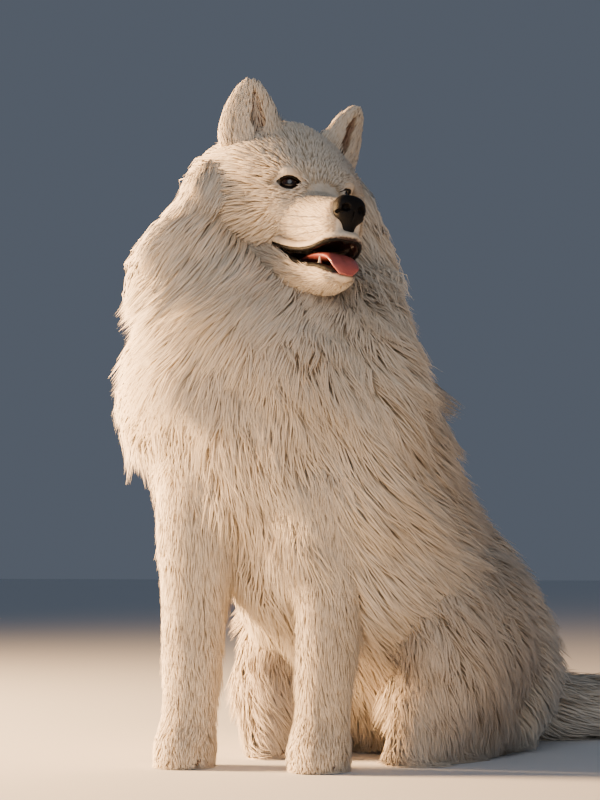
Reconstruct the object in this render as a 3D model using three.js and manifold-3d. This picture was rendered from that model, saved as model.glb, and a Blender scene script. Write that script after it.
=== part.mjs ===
// A life-size sitting Samoyed, still as a museum model. Millimetres, +Z up. The dog faces -Y, so its left side
// is +X. The origin is on the floor under the rump, where the dog sits.
import * as THREE from "three";
import { mergeVertices } from "three/addons/utils/BufferGeometryUtils.js";
import Module from "manifold-3d";

const wasm = await Module();
wasm.setup();

// Driving sizes of the dog.
const GAP = 0.3; // between touching nodes
const CLEAR = 0.5; // how far a node's points move out to leave that gap beside slanting faces
const PITCH = 0.0002; // grid that every point of a finished solid lies on
const CORE_SHARE = 0.5; // how much of the coat's depth the solid core fills
const LOCK = {
  rings: 3,
  leaf: [0.75, 1, 0.75], // share of its width at each ring
  belly: [0.2, 0.6, 0.5], // how far its underside reaches down at each ring, as a share of the core's cover
  flatness: 0.05, // height of its back over its edges, as a share of its width
  sunk: 6, // depth of its root in the core
  proud: 8, // height of its tip over the coat's mean surface
  spacing: 1.3, // from lock to lock, as a share of their width
};
const SEED = 20; // of every random draw

// Coat depth, skin to tip, on each region.
const COAT = { ruff: 62, trunk: 52, thigh: 40, tail: 40, feather: 34 };
const FOOT = 20; // how far a core reaches below the floor, where it is cut off level

// Where the head sits on the neck, and how it is turned.
const HEAD = { at: [-9, -368, 674], yaw: 61, pitch: -4, roll: 6 };
const FORELEG = { x: -42, y: -400, spread: 83, turn: 12 };
const EAR = { turn: 24 };
const EYE = {
  at: [35, -51, 5],
  radius: 12, // of the eyeball
  lids: 16, // radius of the swelling of the lids round it
  outward: 30, // turn of the eye away from straight ahead
  opening: { wide: 28, high: 14 },
};

const { degToRad, lerp, clamp } = THREE.MathUtils;
const UP = new THREE.Vector3(0, 0, 1);
const AHEAD = new THREE.Vector3(0, -1, 0);
const BACKWARD = new THREE.Vector3(0, 1, 0);

let randomState = SEED;
// A repeatable random number from -1 to 1.
function vary() {
  randomState = (randomState * 1664525 + 1013904223) % 4294967296;
  return (randomState / 4294967296) * 2 - 1;
}

// A closed body form made of rings along a line. A station gives a ring's middle, its half width to the side, its
// reach towards angle 0 (front) and towards angle 180 (back), and its turn about the line in degrees.
class Form {
  constructor({ ahead, along = null, square = 1 }, stations) {
    this.ahead = ahead;
    this.along = along;
    this.square = square;
    const curve = (points) => new THREE.CatmullRomCurve3(points);
    this.line = curve(stations.map((s) => new THREE.Vector3(...s.at)));
    this.reach = curve(stations.map((s) => new THREE.Vector3(s.side, s.front, s.back)));
    this.turns = stations.map((s) => s.turn ?? 0);
  }

  point(t, angle) {
    const u = clamp(t, 0, 1);
    const normal = this.along ?? this.line.getTangent(u);
    const reach = this.reach.getPoint(u);
    const place = u * (this.turns.length - 1);
    const from = Math.min(Math.floor(place), this.turns.length - 2);
    const turn = degToRad(lerp(this.turns[from], this.turns[from + 1], place - from));
    const ahead = this.ahead.clone().projectOnPlane(normal).normalize().applyAxisAngle(normal, turn);
    const left = new THREE.Vector3().crossVectors(normal, ahead);
    const bulge = (v) => Math.sign(v) * Math.abs(v) ** this.square;
    const c = bulge(Math.cos(angle));
    const s = bulge(Math.sin(angle));
    return this.line
      .getPoint(u)
      .addScaledVector(left, reach.x * s)
      .addScaledVector(ahead, (c > 0 ? reach.y : reach.z) * c);
  }

  normal(t, angle) {
    const around = this.point(t, angle + 0.05).sub(this.point(t, angle - 0.05));
    const u = clamp(t, 0.02, 0.98);
    const onward = this.point(u + 0.01, angle).sub(this.point(u - 0.01, angle));
    return around.cross(onward).normalize();
  }

  offset(t, angle, out) {
    return this.point(t, angle).addScaledVector(this.normal(t, angle), out);
  }

  // The length of surface that one whole step of t covers here.
  stretch(t, angle) {
    const u = clamp(t, 0.02, 0.98);
    return this.point(u + 0.01, angle).distanceTo(this.point(u - 0.01, angle)) / 0.02;
  }

  // The closed surface between t = low and t = high, at an offset out. Growth also moves its flat ends outwards, and
  // foot lengthens its low end.
  geometry({ rings, sides, low = 0, high = 1, grow = 0, out = 0, foot = 0 }) {
    const positions = [];
    const index = [];
    for (let i = 0; i <= rings; i++) {
      const t = lerp(low, high, i / rings);
      const endwards = this.along ?? this.line.getTangent(clamp(t, 0, 1));
      let past = 0;
      if (i === 0) past = -grow - foot;
      if (i === rings) past = grow;
      for (let j = 0; j < sides; j++) {
        const angle = (j / sides) * 2 * Math.PI;
        const point = this.offset(t, angle, grow + out).addScaledVector(endwards, past);
        positions.push(...point.toArray());
      }
    }
    const at = (i, j) => i * sides + (j % sides);
    const ends = [0, rings].map((i) => {
      const middle = new THREE.Vector3();
      for (let j = 0; j < sides; j++) middle.add(new THREE.Vector3().fromArray(positions, at(i, j) * 3));
      positions.push(...middle.divideScalar(sides).toArray());
      return positions.length / 3 - 1;
    });
    for (let j = 0; j < sides; j++) {
      for (let i = 0; i < rings; i++) {
        index.push(at(i, j), at(i, j + 1), at(i + 1, j + 1), at(i, j), at(i + 1, j + 1), at(i + 1, j));
      }
      index.push(ends[0], at(0, j + 1), at(0, j), ends[1], at(rings, j), at(rings, j + 1));
    }
    return new THREE.BufferGeometry()
      .setAttribute("position", new THREE.Float32BufferAttribute(positions, 3))
      .setIndex(index);
  }
}

const station = (at, side, front, back, turn = 0) => ({ at, side, front, back, turn });

// Solids for joining and cutting.
function solid(geometry, matrix = null) {
  const bare = geometry.clone().deleteAttribute("normal").deleteAttribute("uv");
  if (matrix) bare.applyMatrix4(matrix);
  const merged = mergeVertices(bare, 1e-3);
  return new wasm.Manifold(
    new wasm.Mesh({
      numProp: 3,
      vertProperties: new Float32Array(merged.attributes.position.array),
      triVerts: new Uint32Array(merged.index.array),
    }),
  );
}

const join = (solids) => wasm.Manifold.union(solids);
const biggestBody = (made) => made.decompose().sort((a, b) => b.volume() - a.volume())[0];

// A solid's surface, with its points on a fine grid so that none lie closer together than its pitch.
function surface(made) {
  const { vertProperties, triVerts } = made.getMesh();
  const snapped = vertProperties.map((value) => Math.round(value / PITCH) * PITCH);
  const geometry = new THREE.BufferGeometry()
    .setAttribute("position", new THREE.BufferAttribute(snapped, 3))
    .setIndex(new THREE.BufferAttribute(triVerts, 1));
  geometry.computeVertexNormals();
  return geometry;
}

// The trunk: rump, ribs, shoulders and ruff as one form of level rings, from the floor up to the back of the head.
const trunk = new Form({ ahead: AHEAD, along: UP, square: 0.85 }, [
  station([0, -30, 0], 122, 130, 122), // rump on the floor
  station([4, -30, 45], 152, 186, 168), // seat
  station([0, -45, 110], 160, 238, 192), // loin
  station([-8, -110, 190], 158, 276, 238), // flank
  station([-24, -215, 270], 160, 208, 290, 4), // ribs
  station([-42, -320, 350], 180, 144, 330, 10), // breast
  station([-48, -345, 430], 186, 136, 232, 14), // shoulders
  station([-50, -350, 500], 171, 132, 172, 25), // withers
  station([-53, -350, 560], 165, 120, 135, 48), // throat
  station([-58, -342, 615], 174, 86, 114, 61), // ruff beside the jaw
  station([-32, -352, 680], 142, 48, 94, 61), // ruff beside the eyes
  station([-36, -352, 725], 112, 36, 70, 61), // nape behind the ears
  station([-36, -352, 754], 50, 16, 34, 61),
]);
const NECK_FROM = 7.35 / 12; // where the neck begins on the trunk, in its own t

const foreleg = (side) => {
  const turn = degToRad(FORELEG.turn);
  const x = FORELEG.x + side * FORELEG.spread * Math.cos(turn);
  const y = FORELEG.y + side * FORELEG.spread * Math.sin(turn);
  return new Form({ ahead: AHEAD, along: UP }, [
    station([x, y - 6, 0], 35, 44, 34, FORELEG.turn), // paw
    station([x, y - 4, 26], 36, 42, 34, FORELEG.turn), // toes
    station([x, y + 2, 62], 32, 33, 36, FORELEG.turn), // pastern
    station([x, y + 6, 120], 34, 34, 44, FORELEG.turn),
    station([x - side * 1, y + 10, 190], 38, 38, 56, FORELEG.turn), // forearm
    station([x - side * 2, y + 16, 260], 48, 48, 68, FORELEG.turn), // elbow
    station([x - side * 4, y + 26, 330], 56, 60, 76, FORELEG.turn), // upper arm
    station([x - side * 8, y + 38, 395], 40, 44, 50, FORELEG.turn),
  ]);
};

const hindleg = (side) =>
  new Form({ ahead: AHEAD, along: UP, square: 0.9 }, [
    station([side * 98, -165, 0], 44, 138, 110), // long foot, flat on the floor
    station([side * 104, -160, 40], 56, 142, 130),
    station([side * 110, -150, 100], 68, 146, 150), // shin and knee
    station([side * 104, -142, 165], 68, 138, 150), // thigh
    station([side * 88, -135, 225], 56, 110, 120),
    station([side * 66, -130, 268], 28, 60, 60),
  ]);

const tail = new Form({ ahead: UP }, [
  station([20, 96, 62], 46, 40, 44),
  station([62, 158, 48], 62, 42, 47),
  station([122, 214, 42], 72, 38, 41),
  station([198, 262, 40], 74, 36, 39),
  station([282, 298, 38], 60, 33, 37),
  station([344, 318, 34], 26, 22, 26),
]);

// The head's own frame: it faces -Y, and its middle is at eye height between the ears.
const headMatrix = new THREE.Matrix4()
  .makeTranslation(...HEAD.at)
  .multiply(new THREE.Matrix4().makeRotationZ(degToRad(HEAD.yaw)))
  .multiply(new THREE.Matrix4().makeRotationX(degToRad(-HEAD.pitch)))
  .multiply(new THREE.Matrix4().makeRotationY(degToRad(HEAD.roll)));

const skull = new Form({ ahead: UP, along: BACKWARD }, [
  station([0, -76, -4], 18, 12, 22), // stop
  station([0, -62, -2], 46, 36, 46), // eyes
  station([0, -32, -2], 68, 68, 62), // forehead
  station([0, 5, 0], 84, 88, 74), // between the ears
  station([0, 45, 0], 86, 88, 76),
  station([0, 85, 0], 60, 62, 56),
  station([0, 100, 0], 26, 28, 26), // back of the skull
]);

const muzzle = new Form({ ahead: UP, along: BACKWARD, square: 0.85 }, [
  station([0, -139, -44], 16, 18, 18), // behind the nose leather
  station([0, -129, -43], 25, 27, 23),
  station([0, -111, -42], 31, 30, 31),
  station([0, -90, -41], 36, 33, 35), // lips
  station([0, -68, -38], 42, 38, 36),
  station([0, -45, -34], 47, 40, 34), // corner of the mouth
  station([0, -18, -28], 52, 42, 36), // cheek
]);

// The jaw hangs open: its upper edge, the lip, falls from the corner of the mouth to the chin.
const jaw = new Form({ ahead: UP, along: BACKWARD, square: 0.85 }, [
  station([0, -138, -106], 8, 4, 5),
  station([0, -130, -104], 18, 7, 11), // chin
  station([0, -112, -102], 24, 10, 16),
  station([0, -90, -98], 30, 11, 22),
  station([0, -66, -92], 35, 14, 26),
  station([0, -44, -86], 40, 18, 28), // corner of the mouth
  station([0, -15, -78], 44, 22, 34),
]);

// The gap between the open lips, cut right across, and the hollow of the mouth inside them.
const gape = new Form({ ahead: UP, along: BACKWARD, square: 0.3 }, [
  station([0, -155, -84], 60, 26, 20),
  station([0, -134, -82], 60, 18, 18),
  station([0, -112, -82], 60, 9, 11),
  station([0, -90, -82], 60, 7, 9),
  station([0, -66, -76], 60, 4, 4),
  station([0, -47, -68], 60, 1, 1), // corner of the mouth
]);
const mouth = new Form({ ahead: UP, along: BACKWARD, square: 0.85 }, [
  station([0, -150, -84], 17, 18, 16),
  station([0, -132, -82], 17, 22, 17),
  station([0, -112, -82], 24, 22, 22),
  station([0, -88, -80], 28, 18, 20),
  station([0, -64, -76], 31, 12, 12),
  station([0, -50, -71], 26, 4, 4),
]);

const tongue = new Form({ ahead: UP }, [
  station([0, -58, -82], 14, 4, 4),
  station([0, -85, -80], 18, 5, 5),
  station([0, -112, -80], 20, 5, 5),
  station([0, -131, -84], 20, 5, 4),
  station([0, -142, -93], 18, 4, 4),
  station([0, -145, -102], 9, 3, 3),
]);

const ear = (side) =>
  new Form({ ahead: AHEAD, along: UP }, [
    station([side * 50, 16, 40], 40, 16, 18, side * EAR.turn),
    station([side * 60, 14, 72], 37, 14, 15, side * EAR.turn),
    station([side * 67, 10, 100], 27, 10, 11, side * EAR.turn),
    station([side * 71, 6, 117], 16, 7, 7, side * EAR.turn),
    station([side * 73, 4, 126], 6, 3, 3, side * EAR.turn),
  ]);
const earCup = (side) =>
  new Form({ ahead: AHEAD, along: UP }, [
    station([side * 60, -8, 52], 12, 10, 10, side * EAR.turn),
    station([side * 64, -4, 72], 24, 12, 13, side * EAR.turn),
    station([side * 69, -3, 95], 20, 9, 10, side * EAR.turn),
    station([side * 72, -2, 112], 9, 5, 5, side * EAR.turn),
  ]);

const material = (name, colour, roughness) =>
  Object.assign(new THREE.MeshStandardMaterial({ color: colour, roughness, metalness: 0 }), { name });
const COATING = material("coat", 0xece2d0, 0.9);
const LEATHER = material("nose leather", 0x14110f, 0.35);
const GLOSS = material("eye", 0x120c08, 0.1);
const FLESH = material("tongue", 0xb0605c, 0.4);
const IVORY = material("tooth", 0xe6ddc8, 0.3);

const dog = new THREE.Group();
const claimed = [];

// The largest closed surface of a solid. Merging near vertices can pinch off another one, so it is taken twice.
const largest = (made) => biggestBody(solid(surface(biggestBody(made))));

// A copy of a solid whose points are moved out along their normals, so that a cut with it leaves a gap.
function swollen(made) {
  const geometry = surface(made);
  const { position, normal } = geometry.attributes;
  for (let i = 0; i < position.count; i++) {
    position.setXYZ(
      i,
      position.getX(i) + normal.getX(i) * CLEAR,
      position.getY(i) + normal.getY(i) * CLEAR,
      position.getZ(i) + normal.getZ(i) * CLEAR,
    );
  }
  return solid(geometry);
}

// Adds a node. Its build function gives the solid at a growth, and what earlier nodes hold is cut away from it.
function node(name, finish, build) {
  let made = build(0);
  if (claimed.length) made = made.subtract(join(claimed));
  made = largest(made.trimByPlane([0, 0, 1], 0));
  claimed.push(biggestBody(build(GAP)).add(swollen(made)).add(made));
  const mesh = new THREE.Mesh(surface(made), finish);
  mesh.name = name;
  dog.add(mesh);
}

// One lock of hair: a flat, tapered leaf. It leaves the core under the coat, bends along its lie and ends at the
// tips, a little proud of the coat's mean surface. Its middle line is walked over the form it grows from.
function lock(form, { t, angle, length, width, coat, onward = -1, drift = 0, grow = 0 }) {
  const step = length / LOCK.rings;
  const positions = [];
  for (let i = 0; i <= LOCK.rings; i++) {
    const beside = form.point(t, angle + 0.02).distanceTo(form.point(t, angle - 0.02)) / 0.04;
    const rise = Math.sin(((i / LOCK.rings) * Math.PI) / 2);
    const lift = lerp(-coat * CORE_SHARE - LOCK.sunk, LOCK.proud, rise);
    if (i === LOCK.rings) {
      const tip = form.offset(t + (onward * 6 * grow) / form.stretch(t, angle), angle, lift);
      positions.push(...tip.toArray());
      break;
    }
    const half = (width * LOCK.leaf[i]) / 2 + 4 * grow; // a slanting face moves out less than its edge does
    const across = (onward * half) / beside;
    const above = width * LOCK.flatness * LOCK.leaf[i] + grow;
    const below = coat * CORE_SHARE * LOCK.belly[i];
    const kite = [
      [across, -below / 3],
      [0, above],
      [-across, -below / 3],
      [0, -below - grow],
    ];
    for (const [turn, out] of kite) {
      positions.push(...form.offset(t, angle + turn, lift + out).toArray());
    }
    t = clamp(t + (onward * step) / form.stretch(t, angle), 0.005, 0.995);
    angle += (drift * step) / beside;
  }
  const last = LOCK.rings - 1;
  const index = [0, 1, 2, 0, 2, 3];
  for (let j = 0; j < 4; j++) {
    const k = (j + 1) % 4;
    for (let i = 0; i < last; i++) {
      const [a, b, c, d] = [i * 4 + k, i * 4 + j, (i + 1) * 4 + j, (i + 1) * 4 + k];
      index.push(a, b, c, a, c, d);
    }
    index.push(last * 4 + k, last * 4 + j, LOCK.rings * 4);
  }
  const geometry = new THREE.BufferGeometry();
  geometry.setAttribute("position", new THREE.Float32BufferAttribute(positions, 3));
  return solid(geometry.setIndex(index));
}

// Rows of locks over a form, each row half a lock across from the one before. A row gives its place along the form
// and the span of angles that it covers, in degrees.
function coatOf(form, rows, { width, length, coat, onward = -1, drift = () => 0 }) {
  const locks = [];
  rows.forEach(({ t, from, to, scale = 1 }, row) => {
    const middle = degToRad((from + to) / 2);
    const reach = form.point(t, middle + 0.1).distanceTo(form.point(t, middle - 0.1));
    const round = (reach / 0.2) * degToRad(to - from);
    const count = Math.max(1, Math.round(round / (width * scale * LOCK.spacing)));
    for (let i = 0; i < count; i++) {
      const place = (i + 0.5 + (row % 2 ? 0.25 : -0.25) + vary() * 0.12) / count;
      const angle = degToRad(lerp(from, to, place));
      locks.push({
        t: t + vary() * 0.006,
        angle,
        length: length * scale * (1 + vary() * 0.15),
        width: width * scale * (1 + vary() * 0.12),
        coat,
        onward,
        drift: drift(angle) + vary() * 0.12,
      });
    }
  });
  return (grow) => locks.map((shape) => lock(form, { ...shape, grow }));
}

const BOTH = [["left", 1], ["right", -1]];
const inHead = (form, detail) => solid(form.geometry(detail), headMatrix);
const ball = ([x, y, z], radius, side = 1, matrix = headMatrix) => {
  const sphere = new THREE.SphereGeometry(radius, 12, 8).translate(side * x, y, z);
  return solid(sphere, matrix);
};
for (const [name, side] of BOTH) node("eye_" + name, GLOSS, (grow) => ball(EYE.at, EYE.radius + grow, side));
node("nose", LEATHER, (grow) => {
  const leather = new THREE.SphereGeometry(1, 14, 10);
  const matrix = headMatrix
    .clone()
    .multiply(new THREE.Matrix4().makeTranslation(0, -134, -27))
    .scale(new THREE.Vector3(20 + grow, 12 + grow, 17 + grow));
  const nostrils = BOTH.map(([, side]) => ball([11, -145, -27], 5 - grow, side));
  return solid(leather, matrix).subtract(join(nostrils));
});
node("tongue", FLESH, (grow) => inHead(tongue, { rings: 8, sides: 10, grow }));
for (const [name, side] of BOTH) {
  node("tooth_" + name, IVORY, (grow) => {
    const cone = new THREE.ConeGeometry(4 + grow, 22 + grow, 10).rotateX(Math.PI / 2);
    return solid(cone.translate(side * 17, -112, -85), headMatrix);
  });
}
const openMouth = (grow) =>
  inHead(gape, { rings: 7, sides: 8, grow: -grow }).add(inHead(mouth, { rings: 6, sides: 12, grow: -grow }));

// The opening of an eye: an almond cut out along the way the eye looks.
function eyeOpening(side, grow) {
  const { wide, high } = EYE.opening;
  const half = wide / 2 - grow;
  const lift = high - 2 * grow;
  const almond = new THREE.Shape().moveTo(-half, 0);
  almond.quadraticCurveTo(0, lift, half, 0).quadraticCurveTo(0, -lift, -half, 0);
  const prism = new THREE.ExtrudeGeometry(almond, { depth: 40, bevelEnabled: false, curveSegments: 6 });
  const place = new THREE.Matrix4()
    .makeTranslation(side * EYE.at[0], EYE.at[1], EYE.at[2])
    .multiply(new THREE.Matrix4().makeRotationZ(degToRad(side * EYE.outward)))
    .multiply(new THREE.Matrix4().makeRotationX(Math.PI / 2));
  return solid(prism, headMatrix.clone().multiply(place));
}

node("jaw", COATING, (grow) => inHead(jaw, { rings: 8, sides: 14, grow }).subtract(openMouth(grow)));
node("head", COATING, (grow) =>
  join([
    inHead(skull, { rings: 8, sides: 18, grow }),
    inHead(muzzle, { rings: 8, sides: 14, grow }),
    ...BOTH.map(([, side]) => ball(EYE.at, EYE.lids + grow, side)),
  ]).subtract(join([openMouth(grow), ...BOTH.map(([, side]) => eyeOpening(side, grow))])),
);
for (const [name, side] of BOTH) {
  node("ear_" + name, COATING, (grow) =>
    inHead(ear(side), { rings: 6, sides: 12, grow }).subtract(
      inHead(earCup(side), { rings: 5, sides: 10, grow: -grow }),
    ),
  );
}
// The core of a form fills part of its coat's depth.
const core = (form, coat, detail) => solid(form.geometry({ ...detail, out: -coat * (1 - CORE_SHARE) }));

const away = (share) => (angle) => share * Math.sin(angle);
const ruffLocks = coatOf(
  trunk,
  [
    { t: 0.985, from: 64, to: 296, scale: 0.6 },
    { t: 0.915, from: 64, to: 296, scale: 0.86 },
    { t: 0.83, from: 58, to: 302 },
    { t: 0.745, from: 46, to: 314 },
    { t: 0.66, from: 0, to: 360 },
  ],
  { width: 98, length: 114, coat: COAT.ruff, drift: away(0.2) },
);
node("neck", COATING, (grow) =>
  join([core(trunk, COAT.ruff, { rings: 5, sides: 16, low: NECK_FROM, grow }), ...ruffLocks(grow)]),
);
for (const [name, side] of BOTH) {
  const thigh = hindleg(side);
  const span = side > 0 ? [10, 150] : [210, 350];
  const locks = coatOf(
    thigh,
    [0.84, 0.62, 0.42].map((t) => ({ t, from: span[0], to: span[1] })),
    { width: 84, length: 100, coat: COAT.thigh, drift: away(0.35) },
  );
  node("hindleg_" + name, COATING, (grow) =>
    join([core(thigh, COAT.thigh, { rings: 8, sides: 14, grow, foot: FOOT }), ...locks(grow)]),
  );
}
const tailLocks = coatOf(
  tail,
  [0.24, 0.46, 0.68, 0.86].map((t) => ({ t, from: -100, to: 100 })),
  { width: 74, length: 120, coat: COAT.tail, onward: 1, drift: away(0.25) },
);
node("tail", COATING, (grow) =>
  join([core(tail, COAT.tail, { rings: 8, sides: 10, grow }), ...tailLocks(grow)]),
);
const trunkLocks = coatOf(
  trunk,
  [
    { t: 0.56, from: 0, to: 360 },
    { t: 0.47, from: 0, to: 360 },
    { t: 0.38, from: 0, to: 360 },
    { t: 0.3, from: -45, to: 45 },
    { t: 0.3, from: 105, to: 255 },
    { t: 0.22, from: 125, to: 235 },
    { t: 0.14, from: 140, to: 220 },
  ],
  { width: 112, length: 136, coat: COAT.trunk, drift: away(0.35) },
);
node("torso", COATING, (grow) =>
  join([
    core(trunk, COAT.trunk, { rings: 10, sides: 18, high: NECK_FROM, grow, foot: FOOT }),
    ...trunkLocks(grow),
  ]),
);
for (const [name, side] of BOTH) {
  const leg = foreleg(side);
  const locks = coatOf(
    leg,
    [0.5, 0.36].map((t) => ({ t, from: 130, to: 230 })),
    { width: 44, length: 78, coat: COAT.feather },
  );
  node("foreleg_" + name, COATING, (grow) =>
    join([solid(leg.geometry({ rings: 10, sides: 12, grow })), ...locks(grow)]),
  );
}

export default dog;
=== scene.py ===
"""A life-size sitting Samoyed, a still model: its skin, its coat of tufts, its face and its stage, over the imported
solids. Body sizes are in millimetres, as in the solids' source, and finished meshes in metres."""

import functools
import math

import bpy
import numpy as np
import openvdb
from mathutils import Matrix, Vector, kdtree


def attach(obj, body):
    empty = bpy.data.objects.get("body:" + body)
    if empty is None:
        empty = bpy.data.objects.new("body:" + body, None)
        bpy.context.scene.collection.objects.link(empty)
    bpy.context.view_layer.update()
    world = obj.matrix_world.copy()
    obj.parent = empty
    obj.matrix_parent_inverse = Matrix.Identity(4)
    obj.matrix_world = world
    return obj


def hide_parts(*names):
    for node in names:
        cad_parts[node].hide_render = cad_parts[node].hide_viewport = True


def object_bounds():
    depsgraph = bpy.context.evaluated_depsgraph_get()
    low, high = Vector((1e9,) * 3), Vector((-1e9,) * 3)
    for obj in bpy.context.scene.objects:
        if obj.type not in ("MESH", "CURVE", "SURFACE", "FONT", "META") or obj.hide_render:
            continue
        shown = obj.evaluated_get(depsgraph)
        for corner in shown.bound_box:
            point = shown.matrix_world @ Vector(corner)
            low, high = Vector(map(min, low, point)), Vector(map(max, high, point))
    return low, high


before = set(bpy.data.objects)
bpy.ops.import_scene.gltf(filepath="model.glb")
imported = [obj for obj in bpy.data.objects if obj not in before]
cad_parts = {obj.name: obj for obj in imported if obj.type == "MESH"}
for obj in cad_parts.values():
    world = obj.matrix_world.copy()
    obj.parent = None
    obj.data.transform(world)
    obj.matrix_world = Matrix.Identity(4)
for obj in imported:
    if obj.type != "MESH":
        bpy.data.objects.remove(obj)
CAD_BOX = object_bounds()

bl_info = {
    "name": "Sitting Samoyed",
    "version": (1, 0, 0),
    "blender": (4, 5, 0),
    "location": "View3D > Sidebar > Samoyed",
    "description": "Builds the skin, coat, face and stage of a life-size sitting Samoyed",
    "category": "Object",
}

MM = 0.001
SEED = 7
TURN = 2 * math.pi
SIDES = {"left": 1, "right": -1}  # the dog's own left and right
UP, AHEAD, BACKWARD = (0.0, 0.0, 1.0), (0.0, -1.0, 0.0), (0.0, 1.0, 0.0)

# Where the head sits and how it is turned, and the places that the solids share with this file.
HEAD = {"at": (-9, -368, 674), "yaw": 61, "pitch": -4, "roll": 6}
FORELEG = {"x": -42, "y": -400, "spread": 83, "turn": 12}
EAR_TURN = 24
EYE = {"at": (33, -47.5, 5), "radius": 12, "lids": 15.2, "outward": 30, "half_width": 16.5, "half_height": 7.4}
NOSE = {"at": (0, -134, -27), "size": (20, 12, 17)}
BROW = {"at": (33, -50, 19), "size": (17, 13, 9)}
CHEEK = {"at": (38, -34, -26), "size": (22, 28, 20)}

HEAD_MATRIX = np.array(
    Matrix.Translation(HEAD["at"])
    @ Matrix.Rotation(math.radians(HEAD["yaw"]), 4, "Z")
    @ Matrix.Rotation(math.radians(-HEAD["pitch"]), 4, "X")
    @ Matrix.Rotation(math.radians(HEAD["roll"]), 4, "Y")
)


def in_head(points):
    """Points in the head's own frame, in millimetres, as points of the whole dog."""
    return np.asarray(points, float) @ HEAD_MATRIX[:3, :3].T + HEAD_MATRIX[:3, 3]


def from_dog(points):
    """Points of the whole dog in the head's own frame, in millimetres."""
    return (np.asarray(points) - HEAD_MATRIX[:3, 3]) @ HEAD_MATRIX[:3, :3]


def unit(vectors):
    return vectors / np.maximum(np.linalg.norm(vectors, axis=-1, keepdims=True), 1e-9)


def smooth_step(low, high, value):
    share = np.clip((value - low) / (high - low), 0, 1)
    return share * share * (3 - 2 * share)


def spline(points, u):
    """The centripetal Catmull-Rom curve through rows of points, at u from 0 to 1."""
    place = np.clip(u, 0, 1) * (len(points) - 1)
    first = np.minimum(place.astype(int), len(points) - 2)
    share = (place - first)[:, None]
    ends = np.vstack([2 * points[0] - points[1], points, 2 * points[-1] - points[-2]])
    a, b, c, d = (ends[first + k] for k in range(4))
    before, between, after = (np.sum((q - p) ** 2, axis=1)[:, None] ** 0.25 for p, q in ((a, b), (b, c), (c, d)))
    between = np.where(between < 1e-4, 1, between)
    before = np.where(before < 1e-4, between, before)
    after = np.where(after < 1e-4, between, after)
    leave = ((b - a) / before - (c - a) / (before + between) + (c - b) / between) * between
    arrive = ((c - b) / between - (d - b) / (between + after) + (d - c) / after) * between
    bend = -3 * b + 3 * c - 2 * leave - arrive
    twist = 2 * b - 2 * c + leave + arrive
    return b + leave * share + bend * share**2 + twist * share**3


def sleeve(rows, sides, loop=False):
    """The faces that join rows of ring points: quads, and the triangles of both ends unless the rows run in
    a loop. The ends' middle points follow the rings' points."""
    i, j = np.meshgrid(np.arange(rows if loop else rows - 1), np.arange(sides), indexing="ij")
    onward, after = (i + 1) % rows, (j + 1) % sides
    corners = (i * sides + j, onward * sides + j, onward * sides + after, i * sides + after)
    quads = np.stack(corners, axis=-1).reshape(-1, 4)
    if loop:
        return [quads]
    ring = np.arange(sides)
    after, last = (ring + 1) % sides, (rows - 1) * sides
    low = np.c_[np.full(sides, rows * sides), ring, after]
    high = np.c_[np.full(sides, rows * sides + 1), last + after, last + ring]
    return [quads, np.vstack([low, high])]


def triangles_of(faces):
    """Quads and triangles as triangles alone."""
    parts = [f if f.shape[1] == 3 else np.vstack([f[:, [0, 1, 2]], f[:, [0, 2, 3]]]) for f in faces]
    return np.vstack(parts)


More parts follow.
